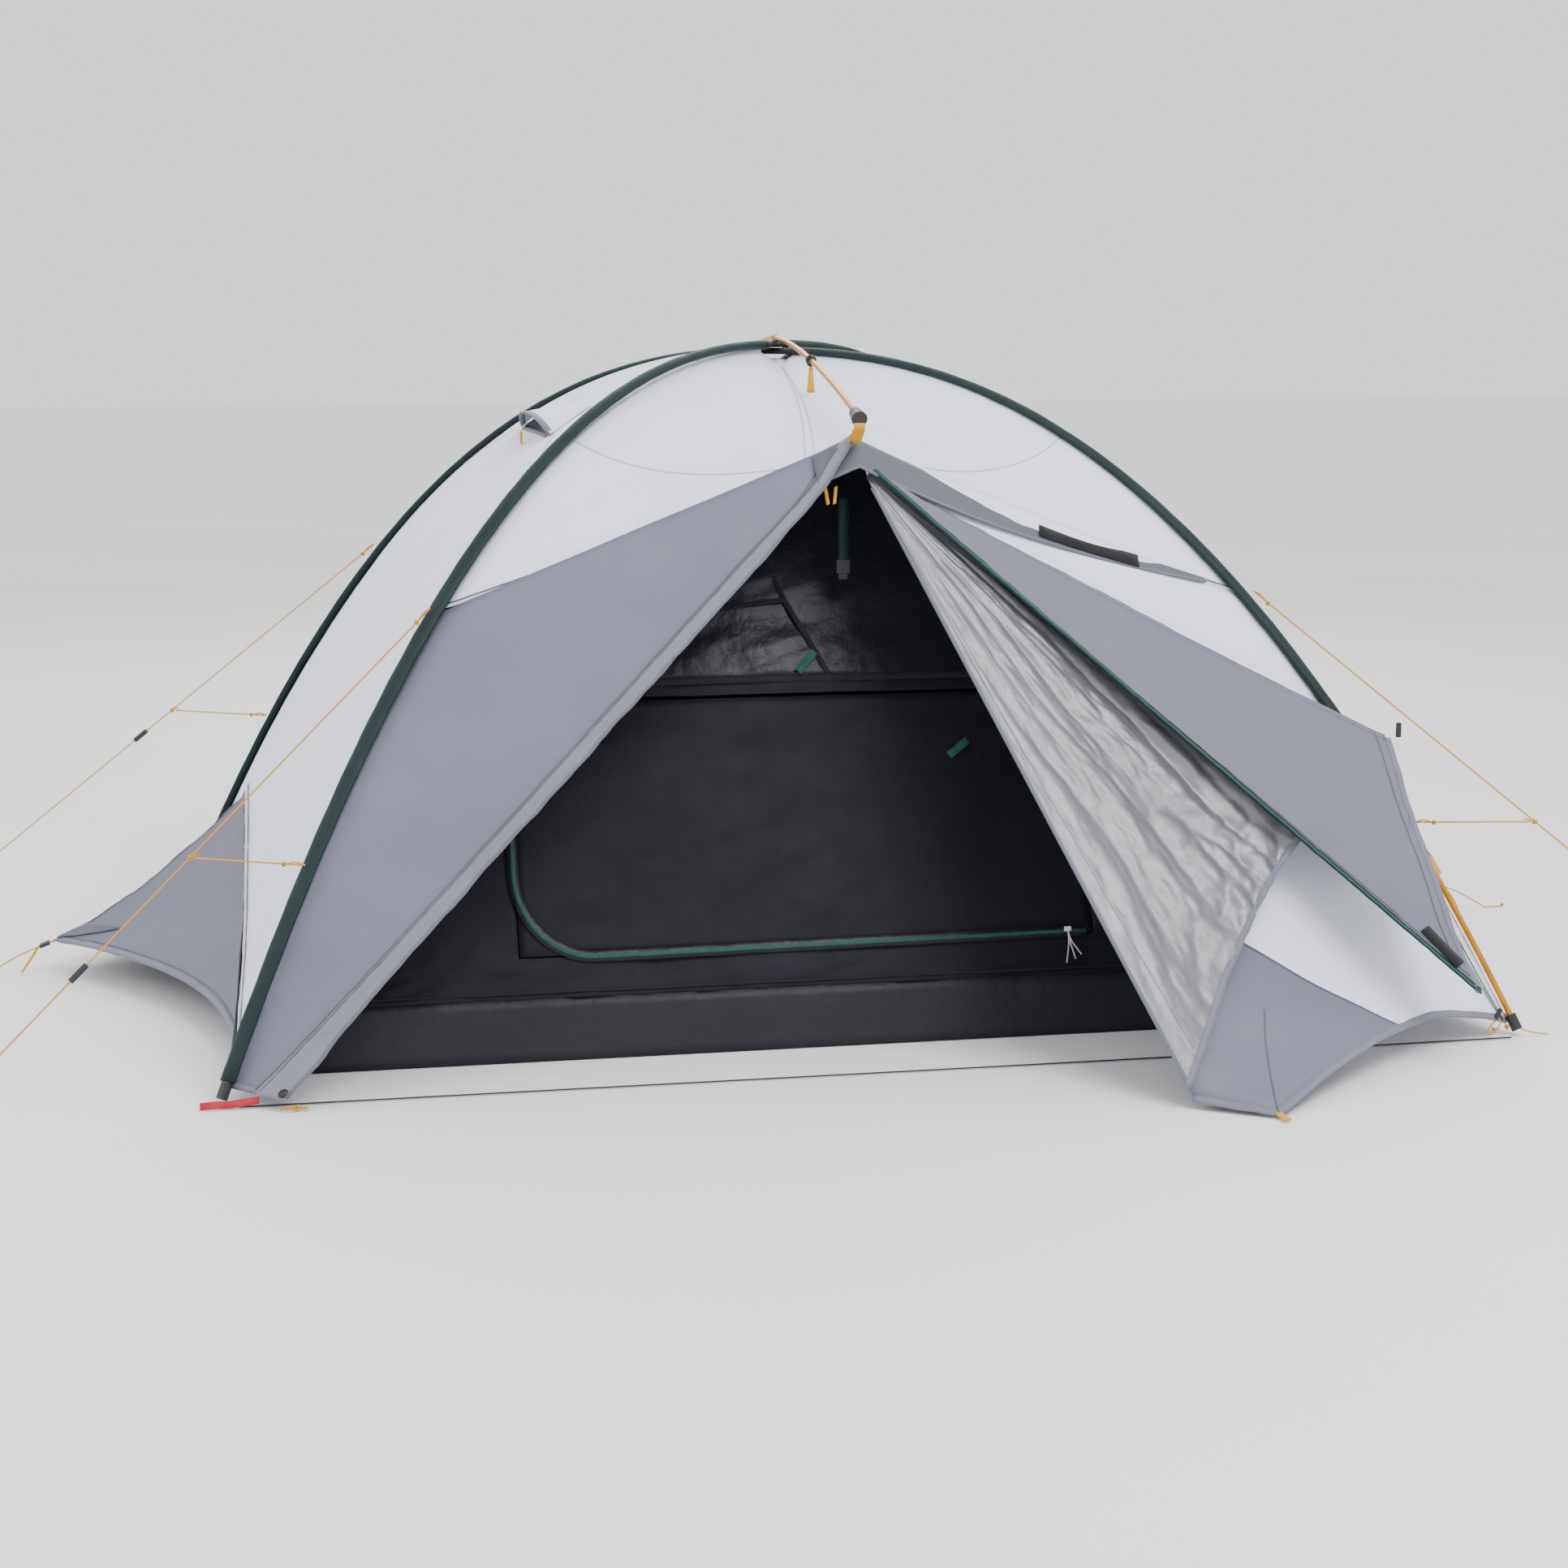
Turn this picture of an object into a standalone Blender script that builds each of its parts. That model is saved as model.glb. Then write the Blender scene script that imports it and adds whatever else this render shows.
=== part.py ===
"""Dome tent with a ridge pole: two crossed poles in sleeves, a fly with two vestibules, an inner tent.

Metres. +Z up, +Y towards the rear vestibule, +X to the right seen from the front.
The origin is on the ground under the crown.
"""
import math

import bmesh
import bpy
from mathutils import Matrix, Vector

# Driving dimensions
HALF_LENGTH = 1.10          # foot of a pole from the centre, along X
HALF_WIDTH = 1.011          # the same, along Y
CROWN_HEIGHT = 1.159        # middle of the pole crossing
ARCH_POWER = 2.32           # how square the shoulders of a pole are
POLE_RADIUS = 0.005
CROSSING_LIFT = 0.0065      # pole a runs this much above, pole b this much below
SLEEVE_HALF_WIDTH = 0.016
SLEEVE_HALF_THICKNESS = 0.008
SLEEVE_WALL = 0.0014
SLEEVE_END_LOW = 0.035      # a pocket end stops just above its foot
SLEEVE_END_BARE = 0.292     # an open end stops here, the pole runs on bare
SLEEVE_END_CROWN = 0.045    # distance of a sleeve's upper end from the crown, along the diagonal
FABRIC = 0.003
PANEL_TOP = 0.095            # a panel starts this far down a pole, as a part of its reach
SEAM_GAP = 0.006            # half the distance between two panels that meet under a sleeve
PANEL_INSET = 0.0180        # fly panels hang this far inside the poles
RIDGE_HEIGHT = 1.177
RIDGE_HALF = 0.690
RIDGE_DROP = 0.222
RIDGE_POWER = 1.6
JOIN_HEIGHT = 0.745         # the canopy's lower edge meets a pole here
CREST_START = (0.0, -0.080, 1.114)   # canopy crest under the ridge pole, near the crown
CREST_END = (0.0, -0.640, 1.014)
DOOR_FOOT = (0.388, -1.351, 0.020)   # lower end of the door's hinge line
DOOR_HOOK = (0.910, -0.850, 0.496)   # corner that the hook lifts
DOOR_TIP = (0.925, -1.200, 0.116)    # free lower corner
CLOSE_FOOT = (-1.020, -1.030, 0.014) # lower end of the zip on the fixed panel
HEM_PEG = (0.503, -1.413, 0.006)     # pegged corner of the right panel
SIDE_APEX_HEIGHT = 0.335
SIDE_BULGE = 0.078
SIDE_PEG = (-1.381, 0.0, 0.062)
INNER_LENGTH = 0.985
INNER_WIDTH = 0.855
INNER_HEIGHT = 1.09
TUB_HEIGHT = 0.10
INNER_SEAM_HEIGHT = 0.60
INNER_TOP = 1.045
DOORWAY = (-0.600, 0.400, 0.165, 0.575)   # left, right, bottom, top of the inner doorway
CORD_RADIUS = 0.0014
CORD_LEVEL = 0.0020          # height of a cord's centre where it lies on the ground
ADJUSTER_LENGTH = 0.036

GREEN = (0.020, 0.062, 0.056)
GOLD = (0.80, 0.42, 0.10)
WHITE = (0.78, 0.81, 0.86)
GREY = (0.26, 0.26, 0.30)
SILVER = (0.42, 0.41, 0.42)
CHARCOAL = (0.018, 0.018, 0.022)
BLACK = (0.010, 0.010, 0.011)
YELLOW = (0.85, 0.46, 0.04)


def clear_scene():
    for item in list(bpy.data.objects):
        bpy.data.objects.remove(item, do_unlink=True)


clear_scene()
collection = bpy.data.collections.new("ridge_dome_tent")
bpy.context.scene.collection.children.link(collection)


def material(name, colour, roughness=0.7, metallic=0.0):
    made = bpy.data.materials.new(name)
    made.use_nodes = True
    shader = made.node_tree.nodes["Principled BSDF"]
    shader.inputs["Base Color"].default_value = (*colour, 1.0)
    shader.inputs["Roughness"].default_value = roughness
    shader.inputs["Metallic"].default_value = metallic
    return made


def place(name, data, look):
    made = bpy.data.objects.new(name, data)
    data.materials.append(material(name, *look))
    collection.objects.link(made)
    return made


def lerp(a, b, t):
    return Vector(a) * (1 - t) + Vector(b) * t


def turned(p):
    """The same point on the opposite side: half a turn about Z."""
    return Vector((-p[0], -p[1], p[2]))


# Curves of the structure

def arch(height):
    """Distance from the crown's axis at a height, as a part of the foot's distance."""
    return max(0.0, 1 - height / CROWN_HEIGHT) ** (1 / ARCH_POWER)


def pole_height(reach, lift=0.0):
    return (CROWN_HEIGHT + lift) * (1 - max(0.0, reach) ** ARCH_POWER)


def pole_point(sx, sy, reach, lift=0.0):
    return Vector((sx * HALF_LENGTH * reach, sy * HALF_WIDTH * reach, pole_height(reach, lift)))


def pole_frame(sx, sy, reach):
    """Outward normal of the pole in its own plane, and the level direction across it."""
    step = 0.002
    low = pole_point(sx, sy, min(1.0, reach + step))
    high = pole_point(sx, sy, max(0.0, reach - step))
    along = (low - high).normalized()
    across = Vector((-sy * HALF_WIDTH, sx * HALF_LENGTH, 0)).normalized()
    normal = along.cross(across)
    if normal.dot(Vector((sx, sy, 1.0))) < 0:
        normal = -normal
    return normal.normalized(), across


def seam_point(sx, sy, height, toward):
    """Edge of a fly panel under a sleeve; toward says which side of the pole the panel is on."""
    reach = arch(height)
    normal, across = pole_frame(sx, sy, reach)
    if across.dot(Vector(toward)) < 0:
        across = -across
    return pole_point(sx, sy, reach) - normal * PANEL_INSET + across * SEAM_GAP


def steps(start, end, count):
    return [start + (end - start) * i / count for i in range(count + 1)]


# Makers of solids

def tube(name, points, radius, look, sides=2):
    curve = bpy.data.curves.new(name, "CURVE")
    curve.dimensions = "3D"
    curve.bevel_depth = radius
    curve.bevel_resolution = sides
    curve.use_fill_caps = True
    spline = curve.splines.new("POLY")
    spline.points.add(len(points) - 1)
    for spot, p in zip(spline.points, points):
        spot.co = (*p, 1)
    return place(name, curve, look)


def sheet(name, rows, look, thickness=FABRIC, offset=0.0):
    """A panel of cloth over a grid of points; rows may share end points."""
    mesh = bpy.data.meshes.new(name)
    work = bmesh.new()
    grid = [[work.verts.new(p) for p in row] for row in rows]
    for upper, lower in zip(grid, grid[1:]):
        for i in range(len(upper) - 1):
            work.faces.new((upper[i], upper[i + 1], lower[i + 1], lower[i]))
    bmesh.ops.remove_doubles(work, verts=work.verts, dist=0.0001)
    bmesh.ops.recalc_face_normals(work, faces=work.faces)
    bmesh.ops.triangulate(work, faces=work.faces)
    work.to_mesh(mesh)
    work.free()
    made = place(name, mesh, look)
    solid = made.modifiers.new("thickness", "SOLIDIFY")
    solid.thickness = thickness
    solid.offset = offset
    solid.use_even_offset = False
    return made


def box(name, size, at, look, rotation=None, bevel=0.0):
    mesh = bpy.data.meshes.new(name)
    work = bmesh.new()
    bmesh.ops.create_cube(work, size=1.0, matrix=Matrix.Diagonal((*size, 1)))
    work.to_mesh(mesh)
    work.free()
    made = place(name, mesh, look)
    made.location = at
    if rotation is not None:
        made.rotation_euler = rotation.to_euler()
    if bevel:
        soft = made.modifiers.new("edges", "BEVEL")
        soft.width = bevel
        soft.segments = 2
    return made


def along_z(direction):
    return Vector(direction).to_track_quat("Z", "Y").to_matrix()


def ring(name, profile, at, direction, look=(BLACK, 0.5), sides=12):
    """A turned piece: its profile of (radius, height) runs down the outside and back up the bore."""
    mesh = bpy.data.meshes.new(name)
    work = bmesh.new()
    corners = [work.verts.new((r, 0, h)) for r, h in profile]
    for a, b in zip(corners, corners[1:] + corners[:1]):
        if a.co.x > 0 or b.co.x > 0:
            work.edges.new((a, b))
    work.to_mesh(mesh)
    work.free()
    made = place(name, mesh, look)
    made.location = at
    made.rotation_euler = along_z(direction).to_euler()
    turn = made.modifiers.new("turn", "SCREW")
    turn.steps = sides
    turn.render_steps = sides
    turn.use_merge_vertices = True
    turn.merge_threshold = 0.00005
    return made


def shade_round():
    for item in collection.objects:
        if item.type == "MESH":
            item.data.set_sharp_from_angle(angle=math.radians(35))
            item.data.shade_smooth()


# Poles, sleeves and their ends

def make_main_pole(name, front, lift):
    """front is the sign pair of the pole's front foot."""
    cup_floor = 0.9935
    down = [pole_point(*front, r, lift) for r in steps(cup_floor, 0.0, 18)]
    rise = [pole_point(-front[0], -front[1], r, lift) for r in steps(0.0, cup_floor, 18)]
    tube(name, down + rise[1:], POLE_RADIUS, (GOLD, 0.3, 0.9), sides=2)


def make_sleeve(name, foot, low, lift):
    """A flat fabric tube around one half of a pole, open at both ends."""
    start = arch(low)
    finish = SLEEVE_END_CROWN / math.hypot(HALF_LENGTH, HALF_WIDTH)
    sides = 8
    mesh = bpy.data.meshes.new(name)
    work = bmesh.new()
    loops = []
    for reach in steps(start, finish, 16):
        normal, across = pole_frame(*foot, reach)
        middle = pole_point(*foot, reach, lift)
        pair = []
        for shrink in (0.0, SLEEVE_WALL):
            turn = []
            for k in range(sides):
                a = 2 * math.pi * (k + 0.5) / sides
                wide = (SLEEVE_HALF_WIDTH - shrink) * math.cos(a)
                high = (SLEEVE_HALF_THICKNESS - shrink) * math.sin(a)
                turn.append(work.verts.new(middle + across * wide + normal * high))
            pair.append(turn)
        loops.append(pair)
    for here, there in zip(loops, loops[1:]):
        for layer in (0, 1):
            for k in range(sides):
                n = (k + 1) % sides
                work.faces.new((here[layer][k], here[layer][n], there[layer][n], there[layer][k]))
    for end in (loops[0], loops[-1]):
        for k in range(sides):
            n = (k + 1) % sides
            work.faces.new((end[0][k], end[0][n], end[1][n], end[1][k]))
    bmesh.ops.recalc_face_normals(work, faces=work.faces)
    work.to_mesh(mesh)
    work.free()
    place(name, mesh, (GREEN, 0.8))


def make_foot_cup(name, sx, sy, lift):
    """Black cup that holds a pole's tip, its bore as wide as the pole with some play."""
    tip = pole_point(sx, sy, 0.9935, lift)
    lower = pole_point(sx, sy, 1.0)
    direction = (tip - lower).normalized()
    outer, bore = 0.0095, POLE_RADIUS + 0.0022
    profile = [(bore, 0.024), (outer, 0.024), (outer, -0.004), (0.0, -0.004), (0.0, 0.003), (bore, 0.003)]
    spot = tip - direction * 0.0045
    spot.z = max(spot.z, 0.0065)
    ring(name, profile, spot, direction)


def ridge_point(y):
    return Vector((0, y, RIDGE_HEIGHT - RIDGE_DROP * abs(y) ** RIDGE_POWER))


def make_ridge():
    points = [ridge_point(y) for y in steps(-RIDGE_HALF, RIDGE_HALF, 24)]
    tube("ridge_pole", points, POLE_RADIUS, (GOLD, 0.3, 0.9))
    for name, sign in (("ridge_cap_front", -1), ("ridge_cap_rear", 1)):
        end = ridge_point(sign * RIDGE_HALF)
        direction = (ridge_point(sign * (RIDGE_HALF - 0.03)) - end).normalized()
        bore = POLE_RADIUS + 0.0006
        profile = [(bore, 0.022), (0.010, 0.022), (0.014, -0.016), (0.0, -0.016), (0.0, -0.001), (bore, -0.001)]
        ring(name, profile, end, direction)
    for name, side in (("peak_tab_front", Vector), ("peak_tab_rear", turned)):
        top = side((0, -0.7005, 1.0325))
        foot = side((0, -0.668, 1.0085))
        rows = [[p + Vector((x, 0, 0)) for x in (-0.011, 0.011)] for p in (top, lerp(top, foot, 0.5), foot)]
        sheet(name, rows, (YELLOW, 0.7), thickness=0.0016)
    clip_at = ridge_point(-0.32)
    tangent = (ridge_point(-0.34) - ridge_point(-0.30)).normalized()
    ring("ridge_clip", [(0.0058, 0.006), (0.0095, 0.006), (0.0095, -0.006), (0.0058, -0.006)],
         clip_at, tangent, (BLACK, 0.5))
    drop = 0.048
    box("ridge_pull_tab", (0.011, 0.0018, drop), clip_at - Vector((0, 0, 0.0115 + drop / 2)), (YELLOW, 0.7))


# The fly

def make_canopy(name, side):
    """White sector between two poles and the crest under the ridge pole."""
    rows = []
    for v in steps(0.0, 1.0, 6):
        height = pole_height(PANEL_TOP + (arch(JOIN_HEIGHT) - PANEL_TOP) * v)
        left = seam_point(-1, -1, height, (0, -1, 0))
        right = seam_point(1, -1, height, (0, -1, 0))
        crest = lerp(CREST_START, CREST_END, v)
        row = [lerp(left, crest, u) for u in steps(0.0, 1.0, 3)]
        row += [lerp(crest, right, u) for u in steps(0.0, 1.0, 3)][1:]
        rows.append([side(p) for p in row])
    sheet(name, rows, (WHITE, 0.75))


def make_side(name, side):
    """White side panel: straight from pole to pole, its lower edge rises to the apex."""
    rows = []
    for v in steps(0.0, 1.0, 7):
        row = []
        for u in steps(-1.0, 1.0, 6):
            low = 0.045 + (SIDE_APEX_HEIGHT - 0.045) * (1 - abs(u))
            height = pole_height(PANEL_TOP + (arch(low) - PANEL_TOP) * v)
            edge = seam_point(-1, -1, height, (-1, 0, 0))
            bulge = SIDE_BULGE * (1 - abs(u)) * v ** 4
            row.append(side((edge.x - bulge, edge.y * -u, height if abs(u) < 1 else edge.z)))
        rows.append(row)
    sheet(name, rows, (WHITE, 0.75))


def skirt_hem(t):
    """Lower hem of the side skirt, from the front foot (t -1) over the peg (0) to the rear foot (1)."""
    foot = Vector((-1.093, math.copysign(0.992, t), 0.016))
    p = lerp(SIDE_PEG, foot, abs(t))
    bow = 4 * abs(t) * (1 - abs(t))
    return p + Vector((0.125 * bow, 0, 0.022 * bow))


def make_skirt(name, side):
    """Grey skirt: a pyramid pulled out to the side peg from the apex under the white panel."""
    edge = seam_point(-1, -1, SIDE_APEX_HEIGHT, (-1, 0, 0))
    apex = Vector((edge.x - SIDE_BULGE - 0.004, 0, SIDE_APEX_HEIGHT - 0.012))
    rows = []
    for s in steps(0.04, 1.0, 5):
        row = []
        for t in steps(-1.0, 1.0, 10):
            p = lerp(apex, skirt_hem(t), s)
            p.z -= 0.09 * s * (1 - s) * (1 - abs(t))
            row.append(side(p))
        rows.append(row)
    sheet(name, rows, (GREY, 0.75))


def make_vestibule_left(name, side):
    """Fixed grey panel between a pole and the door's zip."""
    rows = []
    for v in steps(0.0, 1.0, 7):
        height = (JOIN_HEIGHT - 0.012) * (1 - v) + 0.045 * v
        outer = seam_point(-1, -1, height, (0, -1, 0))
        inner = lerp((-0.006, -0.664, 0.988), CLOSE_FOOT, v)
        rows.append([side(lerp(outer, inner, u)) for u in steps(0.0, 1.0, 3)])
    sheet(name, rows, (GREY, 0.75))


def fixed_panel_point(u, v):
    """Right panel, from the door's hinge line (u 0) to the pole (u 1), top (v 0) to hem (v 1)."""
    hinge = lerp((0.006, -0.652, 0.986), (0.392, -1.335, 0.016), v)
    height = (JOIN_HEIGHT - 0.012) * (1 - v) + 0.030 * v
    outer = seam_point(1, -1, height, (0, -1, 0))
    p = lerp(hinge, outer, u)
    corner = 0.2
    pull = (Vector(HEM_PEG) - lerp((0.392, -1.335, 0.016), seam_point(1, -1, 0.030, (0, -1, 0)), corner))
    shape = max(0.0, 1 - abs(u - corner) / (corner if u < corner else 0.55))
    p += pull * shape * v ** 16
    lift = 0.045 * 4 * max(0.0, u - corner) * (1 - u) / (1 - corner) ** 2
    p += Vector((-0.02, 0.06, 1.0)) * lift * v ** 6
    return p


def make_vestibule_right(name, side):
    """Fixed panel between the door's hinge line and a pole, one corner of its hem pegged out."""
    rows = []
    for v in (0.0, 0.2, 0.4, 0.6, 0.78, 0.88, 0.95, 1.0):
        rows.append([side(fixed_panel_point(u, v)) for u in (0.0, 0.2, 0.4, 0.6, 0.8, 1.0)])
    sheet(name, rows, (WHITE, 0.75))


def make_eave():
    """Short visor sewn along the canopy's lower edge over the door side."""
    right = seam_point(1, -1, JOIN_HEIGHT, (0, -1, 0))
    rows = []
    for u in steps(0.0, 0.94, 6):
        top = lerp(Vector(CREST_END) + Vector((0.002, -0.016, -0.006)), right + Vector((0, -0.012, 0)), u)
        drop = 0.046 * (1 - 0.6 * u)
        rows.append([top, top + Vector((0.004, -0.030 * (1 - 0.5 * u), -drop))])
    sheet("eave_front", rows, (GREY, 0.75), thickness=0.0024)


def make_door():
    """Front door in two leaves: folded on itself and hung open on the right."""
    hinge_top, hinge_low = Vector((0.012, -0.672, 0.966)), Vector(DOOR_FOOT)
    hook, tip = Vector(DOOR_HOOK), Vector(DOOR_TIP)
    hinge_line = (hinge_low - hinge_top).normalized()
    fold_line = (hook - hinge_top).normalized()
    face = hinge_line.cross(fold_line).normalized()
    if face.y > 0:
        face = -face
    margin = 0.007
    inset_hinge = fold_line * margin
    rows = []
    for s in steps(0.03, 1.0, 5):
        a = lerp(hinge_top, hinge_low, s * 0.94) + inset_hinge
        b = lerp(hinge_top, hook, s)
        b = b - (b - a).normalized() * margin
        rows.append([lerp(a, b, u) for u in steps(0.0, 1.0, 3)])
    sheet("door_inner_leaf", rows, (SILVER, 0.5))
    shift = face * 0.012
    rows = []
    for s in steps(0.05, 1.0, 5):
        a = lerp(hinge_top, hook, s * 0.955) + shift
        b = lerp(hinge_top, tip, s) + shift
        rows.append([lerp(a, b, u) for u in steps(0.0, 1.0, 3)])
    sheet("door_outer_leaf", rows, (GREY, 0.7))


def make_rear_door():
    """Rear door, closed between its hinge line and the zip of the fixed panel."""
    top = Vector((0.0, -0.668, 0.970))
    hinge_low = Vector((0.376, -1.345, 0.022))
    zip_low = Vector((-0.990, -1.045, 0.022))
    rows = []
    for s in steps(0.03, 1.0, 5):
        a = lerp(top, hinge_low, s)
        b = lerp(top, zip_low, s)
        margin = (b - a).normalized() * 0.006
        rows.append([turned(lerp(a + margin, b - margin, u)) for u in steps(0.0, 1.0, 4)])
    sheet("rear_door", rows, (GREY, 0.75))


# The inner tent

def inner_arch(height):
    return (1 - height / INNER_HEIGHT) ** (1 / ARCH_POWER)


def front_wall_y(height):
    """The front wall is flat from the tub to its seam and curved above it."""
    if height >= INNER_SEAM_HEIGHT:
        return -INNER_WIDTH * inner_arch(height)
    low, high = -INNER_WIDTH * inner_arch(TUB_HEIGHT), -INNER_WIDTH * inner_arch(INNER_SEAM_HEIGHT)
    part = (height - TUB_HEIGHT) / (INNER_SEAM_HEIGHT - TUB_HEIGHT)
    return low + (high - low) * part


def make_floor():
    mesh = bpy.data.meshes.new("inner_floor")
    work = bmesh.new()
    base = [work.verts.new((x * 0.972, y * 0.842, 0.0)) for x, y in ((-1, -1), (1, -1), (1, 1), (-1, 1))]
    lean = inner_arch(TUB_HEIGHT)
    rim_length, rim_width = INNER_LENGTH * lean, INNER_WIDTH * lean
    rim = [work.verts.new((x * rim_length, y * rim_width, TUB_HEIGHT - 0.004))
           for x, y in ((-1, -1), (1, -1), (1, 1), (-1, 1))]
    work.faces.new(base)
    for i in range(4):
        n = (i + 1) % 4
        work.faces.new((base[i], base[n], rim[n], rim[i]))
    bmesh.ops.recalc_face_normals(work, faces=work.faces)
    work.to_mesh(mesh)
    work.free()
    made = place("inner_floor", mesh, (CHARCOAL, 0.5))
    solid = made.modifiers.new("thickness", "SOLIDIFY")
    solid.thickness = FABRIC
    solid.offset = -1.0


def make_inner_end(name, sign):
    rows = []
    for height in steps(TUB_HEIGHT + 0.004, INNER_TOP, 8):
        half = INNER_LENGTH * inner_arch(height) - 0.010
        y = sign * INNER_WIDTH * inner_arch(height)
        rows.append([Vector((half * u, y, height)) for u in (-1, 0, 1)])
    sheet(name, rows, (CHARCOAL, 0.6))


def make_inner_side(name, sign):
    rows = []
    for height in steps(TUB_HEIGHT + 0.004, INNER_TOP, 8):
        half = INNER_WIDTH * inner_arch(height) - 0.010
        x = sign * INNER_LENGTH * inner_arch(height)
        front = max(-half, front_wall_y(height) + 0.010)
        rows.append([Vector((x, y, height)) for y in (front, 0, half)])
    sheet(name, rows, (CHARCOAL, 0.6))


def make_inner_front():
    rows = []
    for height in steps(INNER_SEAM_HEIGHT + 0.003, INNER_TOP, 5):
        half = INNER_LENGTH * inner_arch(height) - 0.010
        rows.append([Vector((half * u, front_wall_y(height), height)) for u in (-1, 0, 1)])
    sheet("inner_front_mesh", rows, (CHARCOAL, 0.4))
    left, right, bottom, top = DOORWAY
    low, high = TUB_HEIGHT + 0.004, INNER_SEAM_HEIGHT - 0.003
    low_half = INNER_LENGTH * inner_arch(low) - 0.010
    high_half = INNER_LENGTH * inner_arch(high) - 0.010
    outline = [(-low_half, low), (0.0, low), (low_half, low), (high_half, high), (0.0, high), (-high_half, high)]
    doorway = [(left, bottom), (0.0, bottom), (right, bottom), (right, top), (0.0, top), (left, top)]

    def on_wall(x, height):
        return Vector((x, front_wall_y(height), height))

    rows = [[on_wall(*p) for p in outline + outline[:1]], [on_wall(*p) for p in doorway + doorway[:1]]]
    sheet("inner_front_frame", rows, (CHARCOAL, 0.6))
    play = 0.004
    corners = ((left + play, right - play), (bottom + play, top - play))
    rows = [[on_wall(x, height) for x in steps(*corners[0], 2)] for height in corners[1]]
    sheet("inner_door", rows, (CHARCOAL, 0.6))


# Small pieces

def make_strap():
    top = Vector((0.0, -0.585, 0.915))
    box("peak_strap", (0.020, 0.0016, 0.150), top - Vector((0, 0, 0.080)), (GREEN, 0.7))


def make_vent(name, brim_name, side):
    """Vent in the top of a side panel, its lip held open by a short stiff prop."""
    reach_low, reach_high = arch(0.985), arch(1.035)
    low = HALF_LENGTH * reach_low
    high = HALF_LENGTH * reach_high
    rows = []
    for v, half in ((0.0, 0.20), (0.5, 0.21), (1.0, 0.19)):
        x = -(high + (low + 0.030 - high) * v) - 0.006
        z = 1.046 + (1.018 - 1.046) * v
        rows.append([side((x, half * u, z)) for u in (-1, -0.5, 0, 0.5, 1)])
    sheet(name, rows, (WHITE, 0.75))
    if brim_name:
        foot = side((-low + 0.012, -0.05, 0.990))
        box(brim_name, (0.004, 0.012, 0.024), foot + Vector((-0.022, 0, 0.004)), (YELLOW, 0.6))


def make_zip_sliders():
    track = (Vector(CLOSE_FOOT) - Vector((-0.006, -0.664, 0.988))).normalized()
    spot = lerp((-0.006, -0.664, 0.988), CLOSE_FOOT, 0.10)
    face = track.cross(Vector((0.6, 0.0, 0.5))).normalized()
    if face.y > 0:
        face = -face
    box("front_zip_slider", (0.008, 0.006, 0.026), spot + face * 0.0095, (YELLOW, 0.5), along_z(track), bevel=0.0015)
    left, right, bottom, _ = DOORWAY
    y = front_wall_y(bottom) - 0.0105
    box("inner_zip_slider", (0.012, 0.005, 0.008), (right - 0.050, y, bottom + 0.012), (WHITE, 0.5), bevel=0.001)


# Cords: each route is a short list of points, read from a smooth curve through them

def smooth(points, spacing):
    """Points along a Catmull-Rom curve through the route."""
    spots = [Vector(p) for p in points]
    ends = [spots[0] * 2 - spots[1]] + spots + [spots[-1] * 2 - spots[-2]]
    out = []
    for a, b, c, d in zip(ends, ends[1:], ends[2:], ends[3:]):
        count = max(1, round((c - b).length / spacing))
        for i in range(count):
            t = i / count
            out.append(0.5 * (2 * b + (c - a) * t + (2 * a - 5 * b + 4 * c - d) * t * t
                              + (3 * b - a - 3 * c + d) * t ** 3))
    out.append(spots[-1])
    return out


CORNERS = {"front_left": (-1, -1), "rear_left": (-1, 1), "front_right": (1, -1), "rear_right": (1, 1)}
GUY_GROUND = {"front_left": (-1.535, -1.050), "rear_left": (-1.580, 1.108),
              "front_right": (1.508, -1.323), "rear_right": (1.580, 1.108)}
ADJUSTER_AT = {"front_left": 0.72, "rear_left": 0.58, "front_right": 0.80, "rear_right": 0.58}
GUY_HEIGHT = 0.727
BRANCH_HEIGHT = 0.345
KNOT_AT = 0.50               # a branch joins its guyline at this part of its length


def on_sleeve(corner, height):
    """Where a cord leaves the outside of a sleeve."""
    reach = arch(height)
    normal, _ = pole_frame(*corner, reach)
    return pole_point(*corner, reach) + normal * (SLEEVE_HALF_THICKNESS + 0.009)


def guy_loop(start, ground):
    """The tied loop at a guyline's lower end, which a peg takes."""
    level = Vector((ground.x - start.x, ground.y - start.y, 0)).normalized()
    spread = Vector((-level.y, level.x, 0))
    size = 0.035
    return [ground + level * size * 0.5 + spread * size * 0.35,
            ground + level * size,
            ground + level * size * 0.5 - spread * size * 0.35]


def make_guyline(corner_name):
    corner = CORNERS[corner_name]
    start = on_sleeve(corner, GUY_HEIGHT)
    ground = Vector((*GUY_GROUND[corner_name], CORD_LEVEL))
    look = (YELLOW, 0.6)
    run = [lerp(start, ground, t) for t in steps(0.0, 1.0, 14)]
    loop = smooth([ground] + guy_loop(start, ground), 0.012)
    tube("guy_" + corner_name, run[:-1] + loop, CORD_RADIUS, look)
    knot = lerp(start, ground, KNOT_AT)
    foot = on_sleeve(corner, BRANCH_HEIGHT)
    away = (knot - foot).normalized()
    branch = [lerp(foot, knot - away * 0.007, t) for t in steps(0.0, 1.0, 3)]
    tube("branch_" + corner_name, branch, CORD_RADIUS, look)
    half = ADJUSTER_LENGTH / 2
    profile = [(0.0023, half), (0.0052, half), (0.0052, -half), (0.0023, -half)]
    spot = lerp(start, ground, ADJUSTER_AT[corner_name])
    ring("adjuster_" + corner_name, profile, spot, ground - start, sides=8)


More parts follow.
